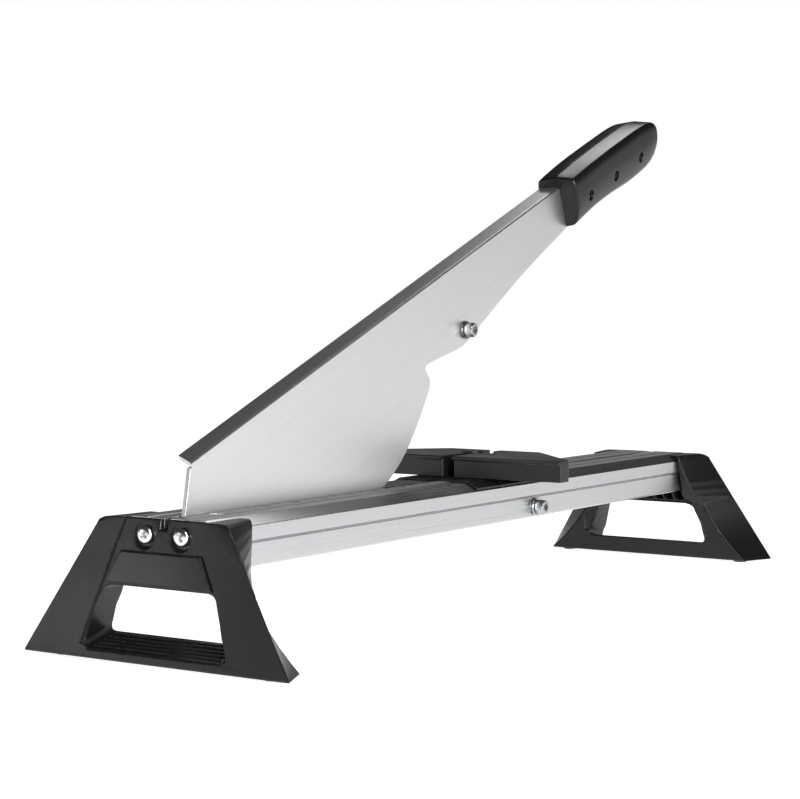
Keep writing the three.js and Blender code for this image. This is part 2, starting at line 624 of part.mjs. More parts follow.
function blade() {
  const half = SHEET / 2;
  const top = FLANGE_ABOVE_PIVOT;
  const sheet = slabY(bladeOutline(), -half, half);
  const rear = FLANGE_WIDTH - half;
  const section = shapeOf([
    [-half, top - SHEET - 2],
    [half, top - SHEET - 2],
    [half, top - SHEET - 0.6],
    [half + 0.6, top - SHEET],
    [rear, top - SHEET],
    [rear, top],
    [-half + 2, top],
    [-half + 0.9, top - 0.3],
    [-half + 0.3, top - 0.9],
    [-half, top - 2],
  ]);
  const flange = slabX(section, FLANGE_START, FLANGE_START + FLANGE_LENGTH);
  const corner = shapeOf([[-1, -half], [0, -half], [8.6, rear + 0.1], [8.6, rear + 2], [-1, rear + 2]]);
  const cornerCut = slabZ(corner, top - SHEET - 0.5, top + 1).translate([FLANGE_START, 0, 0]);
  let solid = sheet.add(flange).subtract(cornerCut);
  solid = solid.subtract(rod('y', [0, 0], BUSH_RADIUS + GAP, -5, 5, 36));
  solid = solid.subtract(rod('y', [STOP_FROM_PIVOT, -STOP_BELOW_PIVOT], M6 + GAP, -5, 5, 24));
  for (const x of handleScrewPlaces) solid = solid.subtract(rod('y', [x, HANDLE_SCREW_Z], M4 + GAP, -5, 5, 20));
  return solid;
}

// Half of the grip on the +y side, as rings along the handle.
function handleHalf() {
  const stations = [
    // share of the length, top, bottom (both below the seam), share of the width
    [0, 3, 38.6, 0.88],
    [0.02, 2.4, 40.8, 0.92],
    [0.1, 1.4, 39, 0.96],
    [0.35, -0.5, 37.8, 1],
    [0.6, -0.6, 39.8, 1],
    [0.88, -0.2, 38.4, 1],
    [0.955, 4, 33, 0.92],
    [0.99, 12, 28, 0.78],
    [1, 16, 24, 0.66],
  ];
  const rings = stations.map(([share, topBelow, bottomBelow, widthShare]) => {
    const top = HANDLE_SEAM_Z - topBelow;
    const bottom = HANDLE_SEAM_Z - bottomBelow * HANDLE_DEPTH / 39;
    const wide = HANDLE_WIDTH / 2 * widthShare;
    const at = (widthPart, down) => [wide * widthPart, along(top, bottom, down)];
    const section = [
      [GAP / 2, bottom],
      at(0.3, 1),
      at(0.55, 0.93),
      at(0.86, 0.62),
      at(1, 0.3),
      at(0.97, 0.2),
      at(0.62, 0.05),
      at(0.3, 0),
      [GAP / 2, top],
    ];
    return section.map(([y, z]) => [HANDLE_START + share * HANDLE_LENGTH, y, z]);
  });
  return loft(rings);
}

// Takes the blade's tang, and on the rear side its flange, out of a half of the grip.
function withTangRoom(solid, rearSide) {
  const half = SHEET / 2 + GAP;
  const start = HANDLE_START - 5;
  const end = HANDLE_START + TANG_LENGTH + GAP;
  const flangeTop = FLANGE_ABOVE_PIVOT + GAP;
  const flangeEnd = FLANGE_START + FLANGE_LENGTH + GAP;
  let cut = solid
    .subtract(box([start, -half, TANG_BOTTOM - GAP], [end, half, flangeTop]))
    .subtract(box([start, -half, 0], [HANDLE_START + 12 + GAP, half, flangeTop]));
  if (rearSide) {
    const low = [start, -half, FLANGE_ABOVE_PIVOT - SHEET - GAP];
    cut = cut.subtract(box(low, [flangeEnd, FLANGE_WIDTH - SHEET / 2 + GAP, flangeTop]));
  }
  return cut;
}

function handleFront() {
  let solid = withTangRoom(mirrorY(handleHalf()), false);
  for (const x of handleScrewPlaces) {
    const centre = [x, HANDLE_SCREW_Z];
    solid = solid.subtract(rod('y', centre, M4 + GAP, -HANDLE_WIDTH, 2, 20));
    solid = solid.subtract(rod('y', centre, M4_HEAD_RADIUS + GAP, -HANDLE_WIDTH, HEAD_SEAT, 28));
  }
  return solid;
}

function handleRear() {
  let solid = withTangRoom(handleHalf(), true);
  for (const x of handleScrewPlaces) {
    const centre = [x, HANDLE_SCREW_Z];
    solid = solid.subtract(rod('y', centre, M4 + GAP, -2, HANDLE_WIDTH, 20));
    solid = solid.subtract(rod('y', centre, M4_NUT_ACROSS / Math.sqrt(3) + GAP, NUT_SEAT, HANDLE_WIDTH, 6));
  }
  return solid;
}

const HEAD_SEAT = HANDLE_SCREW_SINK + M4_HEAD_HEIGHT - HANDLE_WIDTH / 2;
const NUT_SEAT = HANDLE_WIDTH / 2 - HANDLE_SCREW_SINK - M4_NUT_HEIGHT;

function handleScrew(x) {
  const centre = [x, HANDLE_SCREW_Z];
  const seat = HEAD_SEAT - GAP;
  const face = seat - M4_HEAD_HEIGHT;
  return rod('y', centre, M4_HEAD_RADIUS, face + 0.6, seat, 28)
    .add(rod('y', centre, M4_HEAD_RADIUS - 0.7, face, seat, 28))
    .add(rod('y', centre, M4, seat - 1, NUT_SEAT + GAP + M4_NUT_HEIGHT, 20))
    .subtract(crossRecess('y', centre, 2.2, face - 1, face + 1.6));
}

// ---------- assembly ----------
const cutter = new THREE.Group();

const railSolid = rail();
cutter.add(part('rail_rear', railSolid, aluminium()));
cutter.add(part('rail_front', mirrorY(railSolid), aluminium()));
const scaleLow = [LEFT_END + SCALE_START, 1 - RAIL_TOP_GROOVE, RAIL_TOP];
const scaleHigh = [scaleLow[0] + SCALE_LENGTH, 1 - RAIL_TOP_GROOVE + SCALE_WIDTH, RAIL_TOP + SCALE_THICKNESS];
cutter.add(part('scale_strip', box(scaleLow, scaleHigh).translate([0, 0, 0.02]), printedFilm()));

for (const [place, turn] of [['left', 0], ['right', Math.PI]]) {
  const end = new THREE.Group();
  end.position.x = LEFT_END * Math.cos(turn);
  end.rotation.z = turn;
  end.add(part(`foot_${place}`, foot(), blackPlastic()));
  end.add(part(`name_plate_${place}`, namePlate(), blackPlastic()));
  for (const side of [-1, 1]) {
    const row = side * Math.cos(turn) < 0 ? 'front' : 'rear';
    end.add(part(`foot_screw_${place}_${row}`, footScrew(side), zinc()));
    const pad = rod('z', [PAD_X, side * PAD_Y], PAD_RADIUS, 0, FOOT_BOTTOM + PAD_HOLD, 28);
    end.add(part(`pad_${place}_${row}`, pad, rubber()));
  }
  cutter.add(end);
}

// pivot: a bolt through both rails, held between their inner webs
const webFace = WEB_Y + RAIL_WALL / 2 + GAP;
const pivotAt = [PIVOT.x, PIVOT.z];
const pivotBolt = rod('y', pivotAt, PIVOT_HEAD_RADIUS, -webFace - PIVOT_HEAD_HEIGHT, -webFace)
  .add(rod('y', pivotAt, PIVOT_RADIUS, -webFace - 1, webFace + PIVOT_HEAD_HEIGHT + 1));
cutter.add(part('pivot_bolt', pivotBolt, zinc()));
const pivotNutAcross = 2 * PIVOT_HEAD_RADIUS - 0.6;
const pivotNut = hexNut(...pivotAt, pivotNutAcross, PIVOT_RADIUS, webFace, webFace + PIVOT_HEAD_HEIGHT);
cutter.add(part('pivot_nut', pivotNut, zinc()));
for (const [row, side] of [['front', -1], ['rear', 1]]) {
  const faces = [side * (SHEET / 2 + 0.2), side * (HALF_SLOT - 0.2)].sort((a, b) => a - b);
  const washer = tube('y', pivotAt, THRUST_RADIUS, BUSH_RADIUS + GAP, ...faces);
  cutter.add(part(`thrust_washer_${row}`, washer, nylon()));
}

// tie bolt: keeps the slot's width near the middle of the rails
const tieAt = [TIE_X, TIE_Z];
const bandFace = RAIL_OUTER - RAIL_BAND_STEP;
const tieWasherFaces = [bandFace + GAP, bandFace + GAP + M6_WASHER];
const tieSeat = tieWasherFaces[1] + GAP;
cutter.add(part('tie_bolt', capScrew(...tieAt, -tieSeat, tieSeat + M6_NUT_HEIGHT + 1), zinc()));
const tieWasher = tube('y', tieAt, M6_HEAD_RADIUS + 1.4, M6 + GAP, ...tieWasherFaces);
cutter.add(part('tie_washer_rear', tieWasher, zinc()));
cutter.add(part('tie_washer_front', mirrorY(tieWasher), zinc()));
cutter.add(part('tie_nut', hexNut(...tieAt, M6_NUT_ACROSS, M6, tieSeat, tieSeat + M6_NUT_HEIGHT), zinc()));
const sleeve = tube('y', tieAt, TIE_SLEEVE_RADIUS, M6 + GAP, GAP - HALF_SLOT, HALF_SLOT - GAP);
cutter.add(part('tie_spacer', sleeve, darkSteel()));

cutter.add(part('fence_base', fenceBase(), blackSheet()));
cutter.add(part('fence_arm_rear', fenceArm(1), blackPlastic()));
cutter.add(part('fence_arm_front', fenceArm(-1), blackPlastic()));

// the lever turns about the pivot
const lever = new THREE.Group();
lever.position.copy(PIVOT);
lever.rotation.y = -THREE.MathUtils.degToRad(REST_ANGLE);
cutter.add(lever);

lever.add(part('blade', blade(), stainless()));
const bushHalf = HALF_SLOT - 0.3;
const bush = tube('y', [0, 0], BUSH_RADIUS, PIVOT_RADIUS + GAP, -bushHalf, bushHalf);
lever.add(part('pivot_bush', bush, bronze()));
lever.add(part('handle_front', handleFront(), gripPlastic()));
lever.add(part('handle_rear', handleRear(), gripPlastic()));
handleScrewPlaces.forEach((x, i) => {
  lever.add(part(`handle_screw_${i + 1}`, handleScrew(x), zinc()));
  const faces = [NUT_SEAT + GAP, NUT_SEAT + GAP + M4_NUT_HEIGHT];
  lever.add(part(`handle_nut_${i + 1}`, hexNut(x, HANDLE_SCREW_Z, M4_NUT_ACROSS, M4, ...faces), zinc()));
});

const stopAt = [STOP_FROM_PIVOT, -STOP_BELOW_PIVOT];
const stopWasherFaces = [-SHEET / 2 - 0.2 - M6_WASHER, -SHEET / 2 - 0.2];
const stopSeat = stopWasherFaces[0] - 0.2;
const stopNutFace = SHEET / 2 + 0.2;
const stopTip = stopNutFace + M6_NUT_HEIGHT + 1;
lever.add(part('stop_bolt', capScrew(...stopAt, stopSeat, stopTip), zinc()));
const stopWasher = tube('y', stopAt, STOP_WASHER_RADIUS, M6 + GAP, ...stopWasherFaces);
lever.add(part('stop_washer', stopWasher, darkSteel()));
const stopNutFaces = [stopNutFace, stopNutFace + M6_NUT_HEIGHT];
lever.add(part('stop_nut', hexNut(...stopAt, M6_NUT_ACROSS, M6, ...stopNutFaces), zinc()));

export default cutter;
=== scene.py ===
"""Looks of a lever-blade flooring cutter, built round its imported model."""

import json
import math

import bmesh
import bpy
from bpy.props import FloatProperty, FloatVectorProperty, IntProperty, PointerProperty
from mathutils import Matrix, Vector


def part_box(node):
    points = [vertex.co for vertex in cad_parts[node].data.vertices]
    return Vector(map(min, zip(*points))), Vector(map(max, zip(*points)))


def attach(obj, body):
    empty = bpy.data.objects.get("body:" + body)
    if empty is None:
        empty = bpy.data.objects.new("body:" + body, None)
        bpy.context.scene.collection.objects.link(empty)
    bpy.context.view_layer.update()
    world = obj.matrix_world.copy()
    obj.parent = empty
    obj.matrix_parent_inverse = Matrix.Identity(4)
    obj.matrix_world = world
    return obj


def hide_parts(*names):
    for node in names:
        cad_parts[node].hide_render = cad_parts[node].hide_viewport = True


bl_info = {
    "name": "Flooring Cutter",
    "version": (1, 0, 0),
    "blender": (4, 5, 0),
    "location": "View3D > Sidebar > Cutter",
    "description": "Builds the looks of a lever-blade flooring cutter",
    "category": "Object",
}

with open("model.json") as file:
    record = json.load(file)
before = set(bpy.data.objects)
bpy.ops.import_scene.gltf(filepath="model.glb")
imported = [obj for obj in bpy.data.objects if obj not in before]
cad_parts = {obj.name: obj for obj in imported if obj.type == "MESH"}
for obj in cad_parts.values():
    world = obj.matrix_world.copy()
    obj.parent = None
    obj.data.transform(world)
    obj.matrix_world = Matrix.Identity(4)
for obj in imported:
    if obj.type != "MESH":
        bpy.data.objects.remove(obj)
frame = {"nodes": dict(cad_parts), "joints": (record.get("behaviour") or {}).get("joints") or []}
MM = 0.001
# edges that turn more than this are rounded, and faces that turn less are one flat face
SHARP_EDGE = math.radians(24)
ONE_FACE = math.radians(0.4)
# steps of a curved outline turn less than this
CURVE_STEP = math.radians(40)
# share of an edge or a gap that a rounding may take, so that two of them don't meet
HALF_ROOM = 0.48
# an edge with room for no more than this stays sharp
LEAST_ROUNDING = 0.12 * MM
NUT_EDGE = 0.3 * MM
# name of the mesh attribute that marks the rounded edges
ROUNDED = "rounded"
ROUND_STEPS = 48
# values between which most of a noise texture lies
NOISE_LOW = 0.3
NOISE_HIGH = 0.7
HINGE = next(j for j in frame["joints"] if j["type"] == "hinge")
PIVOT = Vector(HINGE["pos_m"])


# ---------- settings ----------
class CutterSizes(bpy.types.PropertyGroup):
    """Sizes that the pieces are finished to."""

    lever_angle: FloatProperty(
        name="Lever angle",
        description="Angle of the blade's folded flange above level",
        default=math.radians(22.2),
        subtype="ANGLE",
        unit="ROTATION",
    )
    moulded_edge: FloatProperty(
        name="Moulded edge",
        description="Rounding of the moulded feet's edges, of which the fence's are a share",
        default=0.0013,
        unit="LENGTH",
    )
    sheet_edge: FloatProperty(
        name="Sheet edge",
        description="Rounding of the blade's and the sheet metal's edges",
        default=0.00035,
        unit="LENGTH",
    )
    extruded_edge: FloatProperty(
        name="Extruded edge",
        description="Rounding of the rails' edges",
        default=0.0003,
        unit="LENGTH",
    )
    mark_pitch: FloatProperty(
        name="Mark pitch",
        description="Distance between the dots of the printed scale",
        default=0.015,
        unit="LENGTH",
    )
    mark_radius: FloatProperty(
        name="Mark radius",
        description="Radius of a dot of the printed scale",
        default=0.0011,
        unit="LENGTH",
    )
    knurl_teeth: IntProperty(
        name="Knurl teeth",
        description="Number of ridges round a socket screw's head",
        default=40,
        min=8,
    )


class CutterColours(bpy.types.PropertyGroup):
    """Colours of the finishes."""

    rail: FloatVectorProperty(
        name="Rails",
        description="Brushed aluminium of the rails",
        default=(0.57, 0.575, 0.585),
        size=3,
        subtype="COLOR",
    )
    blade: FloatVectorProperty(
        name="Blade",
        description="Satin steel of the blade",
        default=(0.74, 0.745, 0.75),
        size=3,
        subtype="COLOR",
    )
    foot: FloatVectorProperty(
        name="Feet",
        description="Grained plastic of the feet",
        default=(0.007, 0.007, 0.008),
        size=3,
        subtype="COLOR",
    )
    fence: FloatVectorProperty(
        name="Fence",
        description="Grained plastic of the fence",
        default=(0.010, 0.010, 0.011),
        size=3,
        subtype="COLOR",
    )
    grip: FloatVectorProperty(
        name="Grip",
        description="Plastic of the hand grip",
        default=(0.006, 0.006, 0.007),
        size=3,
        subtype="COLOR",
    )
    zinc: FloatVectorProperty(
        name="Zinc",
        description="Bright plating of the screws",
        default=(0.80, 0.81, 0.82),
        size=3,
        subtype="COLOR",
    )
    floor: FloatVectorProperty(
        name="Floor",
        description="Pale studio floor",
        default=(0.93, 0.93, 0.93),
        size=3,
        subtype="COLOR",
    )


def sizes():
    """The sizes set in the panel."""
    return bpy.context.scene.cutter_sizes


def colours():
    """The colours set in the panel."""
    return bpy.context.scene.cutter_colours


# ---------- node groups for the finishes ----------
def new_group(name, inputs, outputs):
    """A shader node group with named float, vector or colour sockets, and its two ends."""
    group = bpy.data.node_groups.new(name, "ShaderNodeTree")
    for label, kind, default in inputs:
        socket = group.interface.new_socket(name=label, in_out="INPUT", socket_type=kind)
        socket.default_value = default
    for label, kind in outputs:
        group.interface.new_socket(name=label, in_out="OUTPUT", socket_type=kind)
    return group, group.nodes.new("NodeGroupInput"), group.nodes.new("NodeGroupOutput")


def link(tree, source, target):
    """Joins two sockets."""
    tree.links.new(source, target)


def math_node(tree, operation, a, b):
    """A Math node; a and b are sockets or numbers."""
    node = tree.nodes.new("ShaderNodeMath")
    node.operation = operation
    for slot_index, value in enumerate((a, b)):
        if isinstance(value, (int, float)):
            node.inputs[slot_index].default_value = value
        else:
            link(tree, value, node.inputs[slot_index])
    return node.outputs[0]


def range_node(tree, value, low, high, to_low, to_high):
    """A clamped Map Range node."""
    node = tree.nodes.new("ShaderNodeMapRange")
    link(tree, value, node.inputs["Value"])
    for label, setting in (("From Min", low), ("From Max", high), ("To Min", to_low), ("To Max", to_high)):
        if isinstance(setting, (int, float)):
            node.inputs[label].default_value = setting
        else:
            link(tree, setting, node.inputs[label])
    return node.outputs["Result"]


def noise_node(tree, vector, scale, detail=2.0, roughness=0.5):
    """A Noise texture's value at the given vector."""
    node = tree.nodes.new("ShaderNodeTexNoise")
    node.inputs["Detail"].default_value = detail
    node.inputs["Roughness"].default_value = roughness
    if isinstance(scale, (int, float)):
        node.inputs["Scale"].default_value = scale
    else:
        link(tree, scale, node.inputs["Scale"])
    link(tree, vector, node.inputs["Vector"])
    return node.outputs["Fac"]


def brushing_group():
    """Fine parallel scratches: stretched noise along the brushed direction."""
    group, source, result = new_group(
        "Brushing",
        [
            ("Turn", "NodeSocketFloat", 0.0),
            ("Across", "NodeSocketFloat", 2200.0),
            ("Along", "NodeSocketFloat", 12.0),
        ],
        [("Scratch", "NodeSocketFloat"), ("Cloud", "NodeSocketFloat")],
    )
    place = group.nodes.new("ShaderNodeTexCoord")
    turn = group.nodes.new("ShaderNodeVectorRotate")
    turn.rotation_type = "Y_AXIS"
    link(group, place.outputs["Object"], turn.inputs["Vector"])
    link(group, source.outputs["Turn"], turn.inputs["Angle"])
    stretch = group.nodes.new("ShaderNodeCombineXYZ")
    link(group, source.outputs["Along"], stretch.inputs[0])
    link(group, source.outputs["Across"], stretch.inputs[1])
    link(group, source.outputs["Across"], stretch.inputs[2])
    scaled = group.nodes.new("ShaderNodeVectorMath")
    scaled.operation = "MULTIPLY"
    link(group, turn.outputs["Vector"], scaled.inputs[0])
    link(group, stretch.outputs[0], scaled.inputs[1])
    link(group, noise_node(group, scaled.outputs[0], 1.0, 3.0, 0.6), result.inputs["Scratch"])
    link(group, noise_node(group, place.outputs["Object"], 9.0, 2.0), result.inputs["Cloud"])
    return group


def grain_group():
    """Moulded leather grain: cells with soft valleys, and a slow change of sheen."""
    group, source, result = new_group(
        "Moulded grain",
        [("Scale", "NodeSocketFloat", 1400.0), ("Depth", "NodeSocketFloat", 1.0)],
        [("Height", "NodeSocketFloat"), ("Sheen", "NodeSocketFloat")],
    )
    place = group.nodes.new("ShaderNodeTexCoord")
    cells = group.nodes.new("ShaderNodeTexVoronoi")
    cells.feature = "SMOOTH_F1"
    link(group, place.outputs["Object"], cells.inputs["Vector"])
    link(group, source.outputs["Scale"], cells.inputs["Scale"])
    fine_scale = math_node(group, "MULTIPLY", source.outputs["Scale"], 2.3)
    fine = noise_node(group, place.outputs["Object"], fine_scale, 2.0)
    mixed = math_node(group, "ADD", cells.outputs["Distance"], math_node(group, "MULTIPLY", fine, 0.5))
    link(group, math_node(group, "MULTIPLY", mixed, source.outputs["Depth"]), result.inputs["Height"])
    link(group, noise_node(group, place.outputs["Object"], 14.0, 3.0), result.inputs["Sheen"])
    return group


def wear_group():
    """Rubbed edges, and on moulded plastics partly a painted highlight: the rounded edges that eased_copy
    marks, broken up by noise.
    """
    group, source, result = new_group(
        "Edge wear",
        [("Amount", "NodeSocketFloat", 0.5), ("Break up", "NodeSocketFloat", 260.0)],
        [("Mask", "NodeSocketFloat")],
    )
    place = group.nodes.new("ShaderNodeTexCoord")
    marked = group.nodes.new("ShaderNodeAttribute")
    marked.attribute_name = ROUNDED
    noise = noise_node(group, place.outputs["Object"], source.outputs["Break up"], 3.0)
    patches = range_node(group, noise, 0.42, 0.62, 0.2, 1.0)
    mask = math_node(group, "MULTIPLY", marked.outputs["Fac"], patches)
    link(group, math_node(group, "MULTIPLY", mask, source.outputs["Amount"]), result.inputs["Mask"])
    return group


def grouped(tree, name, build, **values):
    """Places the named node group with its own values; it is built the first time it is asked for."""
    node = tree.nodes.new("ShaderNodeGroup")
    node.node_tree = bpy.data.node_groups.get(name) or build()
    for label, value in values.items():
        node.inputs[label].default_value = value
    return node


def blank_material(name, metallic, specular=0.5):
    """A material with only its Principled shader and output."""
    material = bpy.data.materials.new(name)
    material.use_nodes = True
    shader = material.node_tree.nodes["Principled BSDF"]
    shader.inputs["Metallic"].default_value = metallic
    shader.inputs["Specular IOR Level"].default_value = specular
    return material, material.node_tree, shader


def mix_colour(tree, factor, a, b):
    """A colour between a and b by a mask."""
    node = tree.nodes.new("ShaderNodeMix")
    node.data_type = "RGBA"
    link(tree, factor, node.inputs["Factor"])
    node.inputs["A"].default_value = (*a, 1.0)
    node.inputs["B"].default_value = (*b, 1.0)
    return node.outputs["Result"]


def bump(tree, shader, height, strength, distance):
    """Feeds a height through a Bump node into the shader's normal."""
    node = tree.nodes.new("ShaderNodeBump")
    node.inputs["Strength"].default_value = strength
    node.inputs["Distance"].default_value = distance
    link(tree, height, node.inputs["Height"])
    link(tree, node.outputs["Normal"], shader.inputs["Normal"])


def around(rough, spread):
    """The lowest and highest roughness of a finish."""
    return rough - spread / 2, rough + spread / 2


def brushed_metal(name, colour, rough, turn=0.0, across=2200.0, contrast=0.12, spread=0.16, depth=0.25):
    """Metal with parallel scratches, cloudy roughness and rubbed edges."""
    material, tree, shader = blank_material(name, 1.0)
    brushing = grouped(tree, "Brushing", brushing_group, Turn=turn, Across=across)
    wear_and_highlight = grouped(tree, "Edge wear", wear_group, Amount=0.6)
    scratches = brushing.outputs["Scratch"]
    dark = tuple(c * (1 - contrast) for c in colour)
    light = tuple(min(1.0, c * (1 + contrast)) for c in colour)
    tone = range_node(tree, scratches, NOISE_LOW, NOISE_HIGH, 0.0, 1.0)
    link(tree, mix_colour(tree, tone, dark, light), shader.inputs["Base Color"])
    scratched = range_node(tree, scratches, 0.25, 0.75, *around(rough, spread))
    clouded = math_node(tree, "MULTIPLY", brushing.outputs["Cloud"], 0.08)
    polished = math_node(tree, "MULTIPLY", wear_and_highlight.outputs["Mask"], -0.12)
    total = math_node(tree, "ADD", math_node(tree, "ADD", scratched, clouded), polished)
    link(tree, total, shader.inputs["Roughness"])
    bump(tree, shader, scratches, depth, 0.02 * MM)
    return material


def moulded(name, colour, rough, scale=1400.0, depth=0.35):
    """Plastic, rubber or ink with a fine grain, uneven sheen, slightly polished edges, and edges painted
    lighter: partly rubbed, partly a painted highlight.
    """
    material, tree, shader = blank_material(name, 0.0, 0.3)
    grain = grouped(tree, "Moulded grain", grain_group, Scale=scale)
    wear_and_highlight = grouped(tree, "Edge wear", wear_group, Amount=0.8)
    # edges painted lighter in colour: partly rubbed plastic, partly a painted highlight along the edges
    rubbed = tuple(min(1.0, c * 2 + 0.006) for c in colour)
    link(tree, mix_colour(tree, wear_and_highlight.outputs["Mask"], colour, rubbed), shader.inputs["Base Color"])
    sheen = range_node(tree, grain.outputs["Sheen"], NOISE_LOW, NOISE_HIGH, *around(rough, 0.12))
    polished = math_node(tree, "MULTIPLY", wear_and_highlight.outputs["Mask"], -0.15)
    link(tree, math_node(tree, "ADD", sheen, polished), shader.inputs["Roughness"])
    bump(tree, shader, grain.outputs["Height"], depth, 0.12 * MM)
    return material


def plated(name, colour, rough):
    """Plated steel with faint clouding and rubbed edges."""
    material, tree, shader = blank_material(name, 1.0)
    grain = grouped(tree, "Moulded grain", grain_group, Scale=900.0)
    wear_and_highlight = grouped(tree, "Edge wear", wear_group, Amount=0.7)
    bright = tuple(min(1.0, c * 1.3 + 0.05) for c in colour)
    link(tree, mix_colour(tree, wear_and_highlight.outputs["Mask"], colour, bright), shader.inputs["Base Color"])
    clouded = range_node(tree, grain.outputs["Sheen"], NOISE_LOW, NOISE_HIGH, rough - 0.05, rough + 0.09)
    link(tree, clouded, shader.inputs["Roughness"])
    bump(tree, shader, grain.outputs["Height"], 0.1, 0.03 * MM)
    return material


def finishes():
    """What makes each finish: its kind, colour, roughness and own values."""
    paint = colours()
    extruded = {"across": 2600.0, "contrast": 0.07, "spread": 0.08, "depth": 0.08}
    ground = {"across": 2400.0, "contrast": 0.05, "spread": 0.08, "depth": 0.12}
    ground["turn"] = sizes().lever_angle
    return {
        "rail aluminium": (brushed_metal, paint.rail, 0.25, extruded),
        "blade steel": (brushed_metal, paint.blade, 0.36, ground),
        "bush bronze": (brushed_metal, (0.55, 0.40, 0.20), 0.34, {}),
        "scale film": (brushed_metal, (0.56, 0.565, 0.57), 0.38, {"across": 900.0, "contrast": 0.03}),
        "foot plastic": (moulded, paint.foot, 0.29, {"depth": 0.4}),
        "plate plastic": (moulded, paint.foot, 0.24, {"scale": 1900.0, "depth": 0.15}),
        "fence plastic": (moulded, paint.fence, 0.34, {"scale": 1700.0, "depth": 0.2}),
        "grip plastic": (moulded, paint.grip, 0.27, {"scale": 2100.0, "depth": 0.12}),
        "fence sheet": (moulded, paint.fence, 0.33, {"scale": 2600.0, "depth": 0.12}),
        "pad rubber": (moulded, (0.012, 0.012, 0.012), 0.78, {"scale": 1200.0}),
        "washer nylon": (moulded, (0.70, 0.68, 0.62), 0.5, {}),
        "scale ink": (moulded, (0.02, 0.02, 0.022), 0.45, {"scale": 3000.0, "depth": 0.1}),
        "bright zinc": (plated, paint.zinc, 0.20, {}),
        "screw steel": (plated, (0.45, 0.455, 0.46), 0.24, {}),
        "dark steel": (plated, (0.16, 0.162, 0.165), 0.30, {}),
    }


def material_named(name):
    """One of the cutter's finishes, made the first time it is asked for."""
    found = bpy.data.materials.get(name)
    if found:
        return found
    maker, colour, rough, values = finishes()[name]
    return maker(name, tuple(colour), rough, **values)


# ---------- meshes ----------
def mesh_object(name, mesh):
    """A new object holding the mesh, linked to the scene."""
    made = bpy.data.objects.new(name, mesh)
    bpy.context.scene.collection.objects.link(made)
    return made


def settle(made):
    """Applies the object's modifiers to its mesh."""
    bpy.context.view_layer.update()
    graph = bpy.context.evaluated_depsgraph_get()
    mesh = bpy.data.meshes.new_from_object(made.evaluated_get(graph))
    made.modifiers.clear()
    made.data = mesh
    return made


def shade(made, angle):
    """Smooth shading that keeps edges sharper than the angle, in degrees."""
    made.data.polygons.foreach_set("use_smooth", [True] * len(made.data.polygons))
    made.data.set_sharp_from_angle(angle=math.radians(angle))
    return made


def gap_between(a, b, c, d):
    """Shortest distance between the segments a-b and c-d."""
    best = math.inf
    for point, start, end in ((a, c, d), (b, c, d), (c, a, b), (d, a, b)):
        way = end - start
        share = max(0.0, min(1.0, (point - start).dot(way) / max(way.length_squared, 1e-18)))
        best = min(best, (point - start - way * share).length)
    return best


def smooth_run(corners, at):
    """The edges of a face that carry on from edge `at` in a smooth curve, such as an arc's steps."""
    count = len(corners)
    run = {at}
    for step in (1, -1):
        here = at
        while True:
            after = (here + step) % count
            way = corners[(here + 1) % count] - corners[here]
            bend = way.angle(corners[(after + 1) % count] - corners[after], 0.0)
            if after in run or bend > CURVE_STEP:
                break
            run.add(after)
            here = after
    return run


def weigh_edges(edit, width):
    """Gives each sharp edge as much of the rounding as its faces have room for."""
    layer = edit.edges.layers.float.new("bevel_weight_edge")
    sharp = {e for e in edit.edges if len(e.link_faces) == 2 and e.calc_face_angle(0) > SHARP_EDGE}
    for edge in sharp:
        room = width
        start, end = (vert.co for vert in edge.verts)
        for face in edge.link_faces:
            edges = [loop.edge for loop in face.loops]
            corners = [loop.vert.co for loop in face.loops]
            run = smooth_run(corners, edges.index(edge))
            for index, other in enumerate(edges):
                if index in run or other not in sharp:
                    continue
                if set(other.verts) & set(edge.verts):
                    free = other.calc_length()
                else:
                    free = gap_between(start, end, *(vert.co for vert in other.verts))
                room = min(room, free * HALF_ROOM)
        edge[layer] = room / width if room > LEAST_ROUNDING else 0.0


def eased_copy(node, width, segments=2, slide=True):
    """A copy of a CAD node with its sharp edges rounded where there is room, and marked as rounded."""
    edit = bmesh.new()
    edit.from_mesh(frame["nodes"][node].data)
    bmesh.ops.remove_doubles(edit, verts=edit.verts, dist=0.002 * MM)
    bmesh.ops.dissolve_limit(edit, angle_limit=ONE_FACE, verts=edit.verts, edges=edit.edges)
    weigh_edges(edit, width)
    bmesh.ops.triangulate(edit, faces=edit.faces, quad_method="BEAUTY", ngon_method="BEAUTY")
    mesh = bpy.data.meshes.new(node + "_eased")
    edit.to_mesh(mesh)
    edit.free()
    # the rounding's faces take the second of two empty slots, which then becomes their mark
    for _ in range(2):
        mesh.materials.append(None)
    made = mesh_object(node + "_eased", mesh)
    ease = made.modifiers.new("ease", "BEVEL")
    ease.width = width
    ease.segments = segments
    ease.limit_method = "WEIGHT"
    ease.use_clamp_overlap = False
    ease.loop_slide = slide
    ease.material = 1
    settle(made)
    faces = made.data.polygons
    marks = made.data.attributes.new(ROUNDED, "FLOAT", "FACE")
    marks.data.foreach_set("value", [float(face.material_index) for face in faces])
    faces.foreach_set("material_index", [0] * len(faces))
    shade(made, 35)
    made.modifiers.new("faces", "WEIGHTED_NORMAL").keep_sharp = True
    return settle(made)


def finished(edit, name):
    """The mesh of an edited surface, its faces turned outward."""
    bmesh.ops.recalc_face_normals(edit, faces=edit.faces)
    mesh = bpy.data.meshes.new(name)
    edit.to_mesh(mesh)
    edit.free()
    return mesh


def band(edit, ring, other):
    """A band of faces between two rings with as many corners."""
    count = len(ring)
    for step in range(count):
        after = (step + 1) % count
        edit.faces.new((ring[step], ring[after], other[after], other[step]))


def circle(radius, steps):
    """The corners of a circle round the origin."""
    turns = [2 * math.pi * step / steps for step in range(steps)]
    return [(radius * math.cos(turn), radius * math.sin(turn)) for turn in turns]


